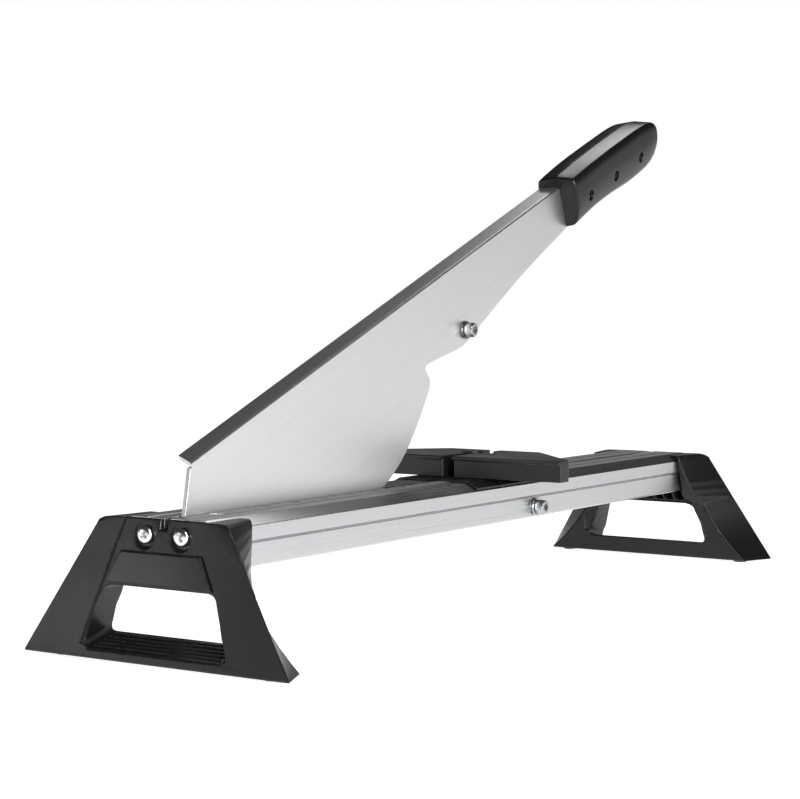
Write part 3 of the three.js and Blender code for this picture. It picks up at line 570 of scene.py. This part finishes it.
def lathe(profile, segments=ROUND_STEPS, ridged=(), ridge_depth=0.0):
    """A solid turned about Z from (radius, height) points that start and end on the axis.

    At the ridged points every other step is cut in by the ridge's depth.
    """
    edit = bmesh.new()
    rings = []
    for index, (radius, height) in enumerate(profile):
        if radius == 0:
            rings.append([edit.verts.new((0, 0, height))])
            continue
        outline = circle(radius, segments)
        if index in ridged:
            outline[1::2] = circle(radius - ridge_depth, segments)[1::2]
        rings.append([edit.verts.new((x, y, height)) for x, y in outline])
    for lower, upper in zip(rings, rings[1:]):
        if len(lower) > 1 and len(upper) > 1:
            band(edit, lower, upper)
            continue
        for step in range(segments):
            after = (step + 1) % segments
            if len(upper) > 1:
                edit.faces.new((lower[0], upper[after], upper[step]))
            else:
                edit.faces.new((lower[step], lower[after], upper[0]))
    return finished(edit, "turned")


def ring_mesh(outer, inner, height, chamfer):
    """A washer about Z from 0 to height with eased edges."""
    edit = bmesh.new()
    outline = [
        (inner + chamfer, 0),
        (outer - chamfer, 0),
        (outer, chamfer),
        (outer, height - chamfer),
        (outer - chamfer, height),
        (inner + chamfer, height),
        (inner, height - chamfer),
        (inner, chamfer),
    ]
    rings = []
    for radius, level in outline:
        rings.append([edit.verts.new((x, y, level)) for x, y in circle(radius, ROUND_STEPS)])
    for ring, other in zip(rings, rings[1:] + rings[:1]):
        band(edit, ring, other)
    return finished(edit, "ring")


def rounded(corners, steps):
    """A closed outline through (x, y, cut) corners, each cut back and turned by a smooth curve."""
    points = []
    for index, (x, y, cut) in enumerate(corners):
        here = Vector((x, y))
        ways = [Vector(corners[k][:2]) - here for k in (index - 1, (index + 1) % len(corners))]
        start, stop = (here + way.normalized() * min(cut, way.length * HALF_ROOM) for way in ways)
        for step in range(steps + 1):
            t = step / steps
            points.append(tuple(start * (1 - t) ** 2 + here * 2 * t * (1 - t) + stop * t**2))
    return points


def smooth_rows(rows, steps):
    """The rows with a smooth curve of further rows between each pair, by Hermite curves."""
    made = []
    last = len(rows) - 1
    for index in range(last):
        before, low, high, after = (rows[max(0, min(last, index + k))] for k in (-1, 0, 1, 2))
        span = high[0] - low[0]
        for step in range(steps):
            t = step / steps
            values = [low[0] + span * t]
            for b, p, q, a in list(zip(before, low, high, after))[1:]:
                start = (q - b) / max(high[0] - before[0], 1e-6) * span
                end = (a - p) / max(after[0] - low[0], 1e-6) * span
                blend = t * t * (3 - 2 * t)
                values.append(p + (q - p) * blend + start * t * (1 - t) ** 2 - end * t * t * (1 - t))
            made.append(tuple(values))
    return made + [rows[-1]]


def prism_object(outline, low, high, taper=1.0):
    """A cutter: the outline in X and Y, from low to high, its high end scaled by taper."""
    edit = bmesh.new()
    bottom = [edit.verts.new((x, y, low)) for x, y in outline]
    top = [edit.verts.new((x * taper, y * taper, high)) for x, y in outline]
    edit.faces.new(list(reversed(bottom)))
    edit.faces.new(top)
    band(edit, bottom, top)
    return mesh_object("cutter", finished(edit, "cutter"))


def carve(made, cutters):
    """Cuts each cutter out of the object and removes the cutters."""
    for cutter in cutters:
        cut = made.modifiers.new("cut", "BOOLEAN")
        cut.operation = "DIFFERENCE"
        cut.solver = "EXACT"
        cut.object = cutter
    settle(made)
    for cutter in cutters:
        bpy.data.objects.remove(cutter)
    return made


def place(made, matrix):
    """Moves the mesh itself, so that the object stays at the origin."""
    made.data.transform(matrix)
    return made


def piece(made, name, body, node, finish):
    """Names a finished object, gives it its material, and lets it stand for its CAD node."""
    made.name = name
    made.data.name = name
    made.data.materials.clear()
    made.data.materials.append(material_named(finish))
    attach(made, body)
    if node:
        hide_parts(node)
    return made


def facing_front(low, high, y):
    """Frame of a fastener along Y, in the middle of its box: its local Z points towards -Y from y."""
    middle = (low + high) / 2
    return Matrix.Translation((middle.x, y, middle.z)) @ Matrix.Rotation(math.radians(90), 4, "X")


def lever_frame():
    """The lever's frame: X along the flange, from the pivot."""
    return Matrix.Translation(PIVOT) @ Matrix.Rotation(-sizes().lever_angle, 4, "Y")


def cross_outline(reach, narrow):
    """Outline of a cross recess: one arm, turned to the four sides."""
    arm = [(reach, -narrow), (reach, narrow), (narrow, narrow)]
    outline = []
    for _ in range(4):
        outline += arm
        arm = [(-y, x) for x, y in arm]
    return outline


def recessed_screw(head, height, shank, length, reach):
    """A cross-recess screw about Z: its head's crown up, its shank down to -length."""
    profile = [(0, -length), (shank * 0.6, -length), (shank, -length + shank * 0.7), (shank, 0)]
    # shares of the head's radius and height
    crown = [(0.97, 0), (1, 0.18), (1, 0.34), (0.95, 0.60), (0.80, 0.83), (0.55, 0.96), (0.3, 1), (0, 1)]
    profile += [(head * out, height * up) for out, up in crown]
    made = mesh_object("screw", lathe(profile))
    deep = height - reach * 0.95
    above = height + 0.2 * MM
    cross = prism_object(cross_outline(reach * 0.45, reach * 0.15), deep, above, 2.3)
    pip = prism_object(circle(reach * 0.3, 8), deep - reach * 0.2, above, 1.5)
    carve(made, [cross, pip])
    return shade(made, 32)


def socket_screw(head, height, shank, length, hexagon):
    """A socket-head screw about Z: knurled head up from 0, shank down to -length."""
    profile = [(0, -length), (shank * 0.75, -length), (shank, -length + shank * 0.3), (shank, 0)]
    profile += [(head - 0.3 * MM, 0), (head, 0.4 * MM)]
    knurled = (len(profile) - 1, len(profile))
    # in from the head's side and down from its top, in millimetres
    rim = [(0, 1.1), (0.3, 0.7), (0.7, 0.1), (1.1, 0)]
    profile += [(head - inward * MM, height - down * MM) for inward, down in rim]
    profile += [(hexagon * 1.25, height), (0, height)]
    made = mesh_object("screw", lathe(profile, 2 * sizes().knurl_teeth, knurled, 0.22 * MM))
    carve(made, [prism_object(circle(hexagon, 6), height - 3.2 * MM, height + 0.3 * MM)])
    return shade(made, 28)


def socket_bolt(node, body, name):
    """A socket screw along Y whose head is at its node's -Y end."""
    low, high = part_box(node)
    head = (high.z - low.z) / 2
    height = 6.4 * MM
    made = socket_screw(head, height, 3 * MM, high.y - low.y - height, 2.9 * MM)
    place(made, facing_front(low, high, low.y + height))
    piece(made, name, body, node, "screw steel")


def washer(node, body, name, finish):
    """A washer along Y with eased edges."""
    low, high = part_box(node)
    made = mesh_object("washer", ring_mesh((high.z - low.z) / 2, 3.3 * MM, high.y - low.y, 0.25 * MM))
    place(shade(made, 30), facing_front(low, high, high.y))
    piece(made, name, body, node, finish)


# ---------- operators ----------
class CUTTER_OT_rails(bpy.types.Operator):
    """Finish the two extruded rails"""

    bl_idname = "cutter.rails"
    bl_label = "Rails"

    def execute(self, context):
        for node in ("rail_front", "rail_rear"):
            made = eased_copy(node, sizes().extruded_edge)
            piece(made, node + "_body", "base", node, "rail aluminium")
        return {"FINISHED"}


class CUTTER_OT_scale(bpy.types.Operator):
    """Print the scale on its strip: a row of dots, ticks and figures"""

    bl_idname = "cutter.scale"
    bl_label = "Scale"

    ink = 0.03 * MM
    margin = 6 * MM
    parts = 3
    half_tick = 0.14 * MM
    tick_start = 0.3 * MM
    long_tick = 2.8 * MM
    short_tick = 1.6 * MM
    dot_inset = 2.2 * MM
    figure_size = 4.2 * MM
    figure_inset = 3.3 * MM

    def execute(self, context):
        low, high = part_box("scale_strip")
        # the film is too thin for its edges to be rounded
        strip = eased_copy("scale_strip", LEAST_ROUNDING)
        piece(strip, "scale_film", "base", "scale_strip", "scale film")
        count = int((high.x - low.x - 2 * self.margin) / sizes().mark_pitch)
        marks = mesh_object("scale_marks", self.marks(low, high, count))
        piece(marks, "scale_marks", "base", None, "scale ink")
        for step in range(1, count, 2):
            figure = mesh_object("figure", self.figure(low, high, step))
            piece(figure, f"scale_figure_{step:02d}", "base", None, "scale ink")
        return {"FINISHED"}

    def marks(self, low, high, count):
        """A dot at every step, with a long tick below it and short ones between."""
        edit = bmesh.new()
        top = high.z + self.ink
        pitch = sizes().mark_pitch
        for step in range(count):
            x = high.x - self.margin - step * pitch
            dot = bmesh.ops.create_circle(edit, cap_ends=True, radius=sizes().mark_radius, segments=20)
            bmesh.ops.translate(edit, verts=dot["verts"], vec=(x, high.y - self.dot_inset, top))
            for part in range(self.parts):
                reach = self.long_tick if part == 0 else self.short_tick
                left = x + part * pitch / self.parts
                sides = (left - self.half_tick, left + self.half_tick)
                near, far = low.y + self.tick_start, low.y + reach
                corners = [(sides[0], near), (sides[1], near), (sides[1], far), (sides[0], far)]
                edit.faces.new([edit.verts.new((a, b, top)) for a, b in corners])
        solid = bmesh.ops.extrude_face_region(edit, geom=edit.faces[:])
        raised = [v for v in solid["geom"] if isinstance(v, bmesh.types.BMVert)]
        bmesh.ops.translate(edit, verts=raised, vec=(0, 0, self.ink))
        return finished(edit, "scale_marks")

    def figure(self, low, high, step):
        """The distance along the scale in millimetres, as raised figures."""
        pitch = sizes().mark_pitch
        curve = bpy.data.curves.new("figure", "FONT")
        curve.body = str(round((step + 1) * pitch / MM))
        curve.size = self.figure_size
        curve.extrude = 0.02 * MM
        curve.align_x = "CENTER"
        made = mesh_object("figure", curve)
        x = high.x - self.margin - step * pitch
        made.location = (x, low.y + self.figure_inset, high.z + self.ink)
        bpy.context.view_layer.update()
        graph = bpy.context.evaluated_depsgraph_get()
        flat = bpy.data.meshes.new_from_object(made.evaluated_get(graph))
        flat.transform(made.matrix_world)
        bpy.data.objects.remove(made)
        return flat


class CUTTER_OT_feet(bpy.types.Operator):
    """Finish the moulded feet and their blank plates"""

    bl_idname = "cutter.feet"
    bl_label = "Feet"

    plate_edge = 0.6 * MM

    def execute(self, context):
        for side in ("left", "right"):
            node = f"foot_{side}"
            foot = eased_copy(node, sizes().moulded_edge, 3, slide=False)
            piece(foot, f"foot_{side}_moulding", "base", node, "foot plastic")
            node = f"name_plate_{side}"
            plate = eased_copy(node, self.plate_edge, 3)
            piece(plate, f"plate_{side}_moulding", "base", node, "plate plastic")
        return {"FINISHED"}


class CUTTER_OT_foot_screws(bpy.types.Operator):
    """Turn the cross-recess screws that hold the feet to the rails"""

    bl_idname = "cutter.foot_screws"
    bl_label = "Foot screws"

    head_height = 3 * MM
    shank = 2.6 * MM
    recess = 3.1 * MM
    # each row's screws were left at an angle of their own, in degrees
    rows = (("front", 38), ("rear", 61))

    def execute(self, context):
        for side, sign in (("left", -1), ("right", 1)):
            outward = Matrix.Rotation(math.radians(90 * sign), 4, "Y")
            for row, angle in self.rows:
                node = f"foot_screw_{side}_{row}"
                low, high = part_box(node)
                middle = (low + high) / 2
                head = (high.y - low.y) / 2
                length = high.x - low.x - self.head_height
                made = recessed_screw(head, self.head_height, self.shank, length, self.recess)
                x = low.x + self.head_height if sign < 0 else high.x - self.head_height
                spin = Matrix.Rotation(math.radians(angle), 4, "Z")
                place(made, Matrix.Translation((x, middle.y, middle.z)) @ outward @ spin)
                piece(made, f"{node}_turned", "base", node, "bright zinc")
        return {"FINISHED"}


class CUTTER_OT_pads(bpy.types.Operator):
    """Mould the rubber pads under the feet"""

    bl_idname = "cutter.pads"
    bl_label = "Pads"

    dish = 0.3 * MM
    corner = 0.6 * MM

    def execute(self, context):
        for side in ("left", "right"):
            for row in ("front", "rear"):
                node = f"pad_{side}_{row}"
                low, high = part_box(node)
                r, h = (high.x - low.x) / 2, high.z - low.z
                profile = [(0, self.dish), (r * 0.45, self.dish), (r * 0.5, 0), (r * 0.86, 0)]
                profile += [(r * 0.96, self.corner / 3), (r, self.corner)]
                profile += [(r, h - self.corner / 2), (r - self.corner / 2, h), (0, h)]
                made = shade(mesh_object("pad", lathe(profile, 40)), 40)
                place(made, Matrix.Translation(((low.x + high.x) / 2, (low.y + high.y) / 2, low.z)))
                piece(made, f"{node}_moulded", "base", node, "pad rubber")
        return {"FINISHED"}


class CUTTER_OT_blade(bpy.types.Operator):
    """Finish the folded blade sheet"""

    bl_idname = "cutter.blade"
    bl_label = "Blade"

    def execute(self, context):
        made = eased_copy("blade", sizes().sheet_edge, slide=False)
        piece(made, "blade_sheet", "lever", "blade", "blade steel")
        return {"FINISHED"}


class CUTTER_OT_grip(bpy.types.Operator):
    """Mould the two halves of the hand grip round the blade's tang"""

    bl_idname = "cutter.grip"
    bl_label = "Grip"

    # along the lever, top, bottom and share of the width, in millimetres from the pivot
    stations = (
        (485.6, 51.2, 12.9, 0.93),
        (486.4, 51.9, 12.3, 0.96),
        (500.0, 52.8, 13.6, 0.98),
        (520.0, 53.6, 15.0, 1.00),
        (548.0, 54.0, 14.8, 1.00),
        (578.0, 54.0, 13.2, 1.00),
        (602.0, 53.6, 13.6, 1.00),
        (616.0, 52.4, 15.0, 0.98),
        (626.0, 49.6, 18.2, 0.93),
        (632.0, 45.2, 22.6, 0.84),
        (634.6, 40.6, 26.6, 0.70),
        (635.0, 38.2, 28.6, 0.62),
    )
    # share of the half width, share of the way down, and how far the corner is cut back in millimetres
    section = (
        (0.0, 0.0, 0.5),
        (0.90, 0.05, 1.7),
        (1.0, 0.17, 4.0),
        (0.95, 0.60, 9.0),
        (0.66, 0.96, 5.0),
        (0.0, 1.0, 0.5),
    )
    # opposite corners of the rooms for the tang, the blade's end and its folded flange, in millimetres
    tang_room = ((470, -1.8, 19.7), (607.7, 1.8, 44.5))
    blade_room = ((470, -1.8, 0), (497.7, 1.8, 44.5))
    flange_room = ((470, -1.8, 40.9), (493.7, 14.8, 44.5))
    # each half's side, width and the depth where its screws' heads or nuts seat, in millimetres
    halves = (("front", -1, 17.2, 10.1), ("rear", 1, 17.4, 9.3))
    first_hole = 507.4
    hole_pitch = 44
    hole_height = 29.2
    seat_radius = 4.1 * MM
    shank_radius = 2.3 * MM
    past_joint = 1.8 * MM
    past_side = 30 * MM

    def execute(self, context):
        for half, sign, width, seat in self.halves:
            made = self.half(sign, width)
            cutters = [self.block(*self.tang_room), self.block(*self.blade_room)]
            if half == "rear":
                cutters.append(self.block(*self.flange_room))
            end = sign * self.past_side
            for index in range(3):
                x = (self.first_hole + self.hole_pitch * index) * MM
                cutters.append(self.drill(x, self.seat_radius, sign * seat * MM, end))
                cutters.append(self.drill(x, self.shank_radius, -sign * self.past_joint, end))
            carve(made, cutters)
            place(shade(made, 34), lever_frame())
            piece(made, f"grip_{half}_moulding", "lever", f"handle_{half}", "grip plastic")
        return {"FINISHED"}

    def half(self, sign, width):
        """One half of the grip: its section carried smoothly along the stations."""
        edit = bmesh.new()
        rings = []
        for x, top, bottom, share in smooth_rows(self.stations, 6):
            corners = []
            for across, down, cut in self.section:
                y = max(0.15, across * share * width)
                corners.append((y, top + (bottom - top) * down, cut))
            outline = rounded(corners, 6)
            rings.append([edit.verts.new((x * MM, sign * y * MM, z * MM)) for y, z in outline])
        for ring, other in zip(rings, rings[1:]):
            band(edit, ring, other)
        edit.faces.new(rings[0])
        edit.faces.new(rings[-1])
        return mesh_object("grip_half", finished(edit, "grip_half"))

    def block(self, low, high):
        """A box-shaped cutter in the lever's frame, between two corners in millimetres."""
        left, near, bottom = (value * MM for value in low)
        right, far, top = (value * MM for value in high)
        return prism_object([(left, near), (right, near), (right, far), (left, far)], bottom, top)

    def drill(self, x, radius, start, end):
        """A round cutter along Y in the lever's frame, at the height of the screws."""
        made = prism_object(circle(radius, 32), 0, abs(end - start))
        turn = Matrix.Rotation(math.radians(90 if end < start else -90), 4, "X")
        return place(made, Matrix.Translation((x, start, self.hole_height * MM)) @ turn)


class CUTTER_OT_grip_screws(bpy.types.Operator):
    """Turn the recessed screws and nuts of the grip"""

    bl_idname = "cutter.grip_screws"
    bl_label = "Grip screws"

    head = 3.8 * MM
    head_height = 2.4 * MM
    shank = 2 * MM
    recess = 2.3 * MM
    nut_edge = 0.2 * MM

    def execute(self, context):
        for index in (1, 2, 3):
            node = f"handle_screw_{index}"
            low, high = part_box(node)
            length = high.y - low.y - self.head_height
            made = recessed_screw(self.head, self.head_height, self.shank, length, self.recess)
            spin = Matrix.Rotation(math.radians(20 + 30 * index), 4, "Z")
            place(made, facing_front(low, high, low.y + self.head_height) @ spin)
            piece(made, f"grip_screw_{index}", "lever", node, "bright zinc")
            node = f"handle_nut_{index}"
            nut = eased_copy(node, self.nut_edge)
            piece(nut, f"grip_nut_{index}", "lever", node, "bright zinc")
        return {"FINISHED"}


class CUTTER_OT_stop(bpy.types.Operator):
    """Turn the stop bolt, its washer and nut on the blade"""

    bl_idname = "cutter.stop"
    bl_label = "Stop bolt"

    def execute(self, context):
        socket_bolt("stop_bolt", "lever", "stop_bolt_turned")
        washer("stop_washer", "lever", "stop_washer_turned", "dark steel")
        nut = eased_copy("stop_nut", NUT_EDGE)
        piece(nut, "stop_nut_forged", "lever", "stop_nut", "screw steel")
        return {"FINISHED"}


class CUTTER_OT_tie(bpy.types.Operator):
    """Turn the tie bolt through the rails, its washers and nut"""

    bl_idname = "cutter.tie"
    bl_label = "Tie bolt"

    def execute(self, context):
        socket_bolt("tie_bolt", "base", "tie_bolt_turned")
        for node in ("tie_washer_front", "tie_washer_rear"):
            washer(node, "base", f"{node}_turned", "screw steel")
        nut = eased_copy("tie_nut", NUT_EDGE)
        piece(nut, "tie_nut_forged", "base", "tie_nut", "screw steel")
        return {"FINISHED"}


class CUTTER_OT_fence(bpy.types.Operator):
    """Finish the sliding fence: two moulded arms and their bent base sheet"""

    bl_idname = "cutter.fence"
    bl_label = "Fence"

    # the fence's edges are crisper than the feet's
    edge_share = 0.6

    def execute(self, context):
        edge = sizes().moulded_edge * self.edge_share
        for row in ("front", "rear"):
            node = f"fence_arm_{row}"
            made = eased_copy(node, edge, 3)
            piece(made, f"fence_{row}_moulding", "fence", node, "fence plastic")
        base = eased_copy("fence_base", sizes().sheet_edge)
        piece(base, "fence_sheet_bent", "fence", "fence_base", "fence sheet")
        return {"FINISHED"}


class CUTTER_OT_inner(bpy.types.Operator):
    """Give the pivot's hidden pieces their finishes"""

    bl_idname = "cutter.inner"
    bl_label = "Pivot pieces"

    def execute(self, context):
        finishes = {
            "pivot_bolt": "bright zinc",
            "pivot_nut": "bright zinc",
            "pivot_bush": "bush bronze",
            "thrust_washer_front": "washer nylon",
            "thrust_washer_rear": "washer nylon",
            "tie_spacer": "dark steel",
        }
        for node, finish in finishes.items():
            data = frame["nodes"][node].data
            data.materials.clear()
            data.materials.append(material_named(finish))
        return {"FINISHED"}


class CUTTER_OT_stage(bpy.types.Operator):
    """Lay the pale floor and set the soft lights and the camera"""

    bl_idname = "cutter.stage"
    bl_label = "Stage"

    # name, place, target, width, height and power of each lamp
    lamps = (
        ("key", (-1.0, -1.5, 1.7), (0.0, 0.0, 0.1), 1.2, 0.9, 16),
        ("glow", (-1.236, 0.964, 0.128), (-0.32, -0.09, 0.03), 0.3, 0.2, 0.9),
        ("rim", (1.15, 0.48, 1.4), (0.25, 0.0, 0.28), 0.5, 0.35, 2.4),
        ("strip", (-1.0, -1.5, 0.34), (-0.2, 0.0, 0.06), 0.6, 0.5, 26),
    )
    camera_place = (-1.24507, -0.78499, 0.21744)
    camera_yaw = math.radians(33.65)
    camera_pitch = math.radians(2.95)
    floor_size = 40
    # the floor's own glow, as the tool's surfaces see it and as the camera sees it
    glow_lit = (0.80, 0.80, 0.80)
    glow_seen = (0.93, 0.93, 0.93)

    def execute(self, context):
        scene = context.scene
        scene.view_settings.view_transform = "Standard"
        self.floor()
        self.sky(scene)
        for lamp in self.lamps:
            self.softbox(*lamp)
        self.camera(scene)
        return {"FINISHED"}

    def camera(self, scene):
        """A long lens from the near foot's side, just over the rails."""
        data = bpy.data.cameras.new("camera")
        data.lens = 94.8
        data.sensor_width = 36
        data.clip_start = 0.05
        data.clip_end = 60
        made = bpy.data.objects.new("camera", data)
        scene.collection.objects.link(made)
        level = math.cos(self.camera_pitch)
        x, y = math.cos(self.camera_yaw) * level, math.sin(self.camera_yaw) * level
        made.location = self.camera_place
        made.rotation_mode = "QUATERNION"
        made.rotation_quaternion = Vector((x, y, -math.sin(self.camera_pitch))).to_track_quat("-Z", "Y")
        scene.camera = made

    def floor(self):
        """A pale, faintly clouded floor that reaches far past the tool."""
        bpy.ops.mesh.primitive_plane_add(size=self.floor_size)
        made = bpy.context.object
        made.name = "studio_floor"
        material, tree, shader = blank_material("studio floor", 0.0, 0.2)
        coordinates = tree.nodes.new("ShaderNodeTexCoord")
        cloud = noise_node(tree, coordinates.outputs["Object"], 0.7, 2.0)
        pale = tuple(colours().floor)
        dull = tuple(c * 0.985 for c in pale)
        link(tree, mix_colour(tree, cloud, dull, pale), shader.inputs["Base Color"])
        shader.inputs["Roughness"].default_value = 0.6
        seen = tree.nodes.new("ShaderNodeLightPath").outputs["Is Camera Ray"]
        glow = mix_colour(tree, seen, self.glow_lit, self.glow_seen)
        link(tree, glow, shader.inputs["Emission Color"])
        shader.inputs["Emission Strength"].default_value = 1.0
        made.data.materials.append(material)

    def sky(self, scene):
        """A white background, and a studio that is brightest low in front and dim overhead and behind."""
        world = bpy.data.worlds.new("studio")
        world.use_nodes = True
        tree = world.node_tree
        direction = tree.nodes.new("ShaderNodeTexCoord")
        split = tree.nodes.new("ShaderNodeSeparateXYZ")
        link(tree, direction.outputs["Generated"], split.inputs[0])
        height = range_node(tree, split.outputs["Z"], 0.02, 0.25, 1.5, 0.12)
        front = range_node(tree, split.outputs["Y"], -0.75, -0.4, 1.0, 0.33)
        studio = math_node(tree, "MULTIPLY", height, front)
        seen = tree.nodes.new("ShaderNodeLightPath").outputs["Is Camera Ray"]
        level = math_node(tree, "MAXIMUM", studio, seen)
        background = tree.nodes["Background"]
        grey = tree.nodes.new("ShaderNodeCombineColor")
        for index in range(3):
            link(tree, level, grey.inputs[index])
        link(tree, grey.outputs[0], background.inputs["Color"])
        background.inputs["Strength"].default_value = 1.0
        scene.world = world

    def softbox(self, name, position, target, width, height, power):
        """A soft rectangular lamp aimed at a point."""
        data = bpy.data.lights.new(name, "AREA")
        data.shape = "RECTANGLE"
        data.size = width
        data.size_y = height
        data.energy = power
        lamp = bpy.data.objects.new(name, data)
        lamp.visible_camera = False
        lamp.location = position
        lamp.rotation_mode = "QUATERNION"
        lamp.rotation_quaternion = (Vector(target) - Vector(position)).to_track_quat("-Z", "Y")
        bpy.context.scene.collection.objects.link(lamp)


class CUTTER_PT_panel(bpy.types.Panel):
    """The cutter's settings and its pieces"""

    bl_label = "Flooring Cutter"
    bl_idname = "CUTTER_PT_panel"
    bl_space_type = "VIEW_3D"
    bl_region_type = "UI"
    bl_category = "Cutter"

    def draw(self, context):
        for group in (context.scene.cutter_sizes, context.scene.cutter_colours):
            for name in group.bl_rna.properties.keys():
                if name not in ("rna_type", "name"):
                    self.layout.prop(group, name)
        for operator in OPERATORS:
            self.layout.operator(operator.bl_idname)


OPERATORS = (
    CUTTER_OT_rails,
    CUTTER_OT_scale,
    CUTTER_OT_feet,
    CUTTER_OT_foot_screws,
    CUTTER_OT_pads,
    CUTTER_OT_blade,
    CUTTER_OT_grip,
    CUTTER_OT_grip_screws,
    CUTTER_OT_stop,
    CUTTER_OT_tie,
    CUTTER_OT_fence,
    CUTTER_OT_inner,
    CUTTER_OT_stage,
)
CLASSES = (CutterSizes, CutterColours, *OPERATORS, CUTTER_PT_panel)


def register():
    """Registers the classes and the scene's settings."""
    for item in CLASSES:
        bpy.utils.register_class(item)
    bpy.types.Scene.cutter_sizes = PointerProperty(type=CutterSizes)
    bpy.types.Scene.cutter_colours = PointerProperty(type=CutterColours)


def unregister():
    """Removes the classes and the scene's settings."""
    del bpy.types.Scene.cutter_colours
    del bpy.types.Scene.cutter_sizes
    for item in reversed(CLASSES):
        bpy.utils.unregister_class(item)


def main():
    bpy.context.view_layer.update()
    register()
    for operator in OPERATORS:
        group, name = operator.bl_idname.split(".")
        getattr(getattr(bpy.ops, group), name)()


if __name__ == "__main__":
    main()
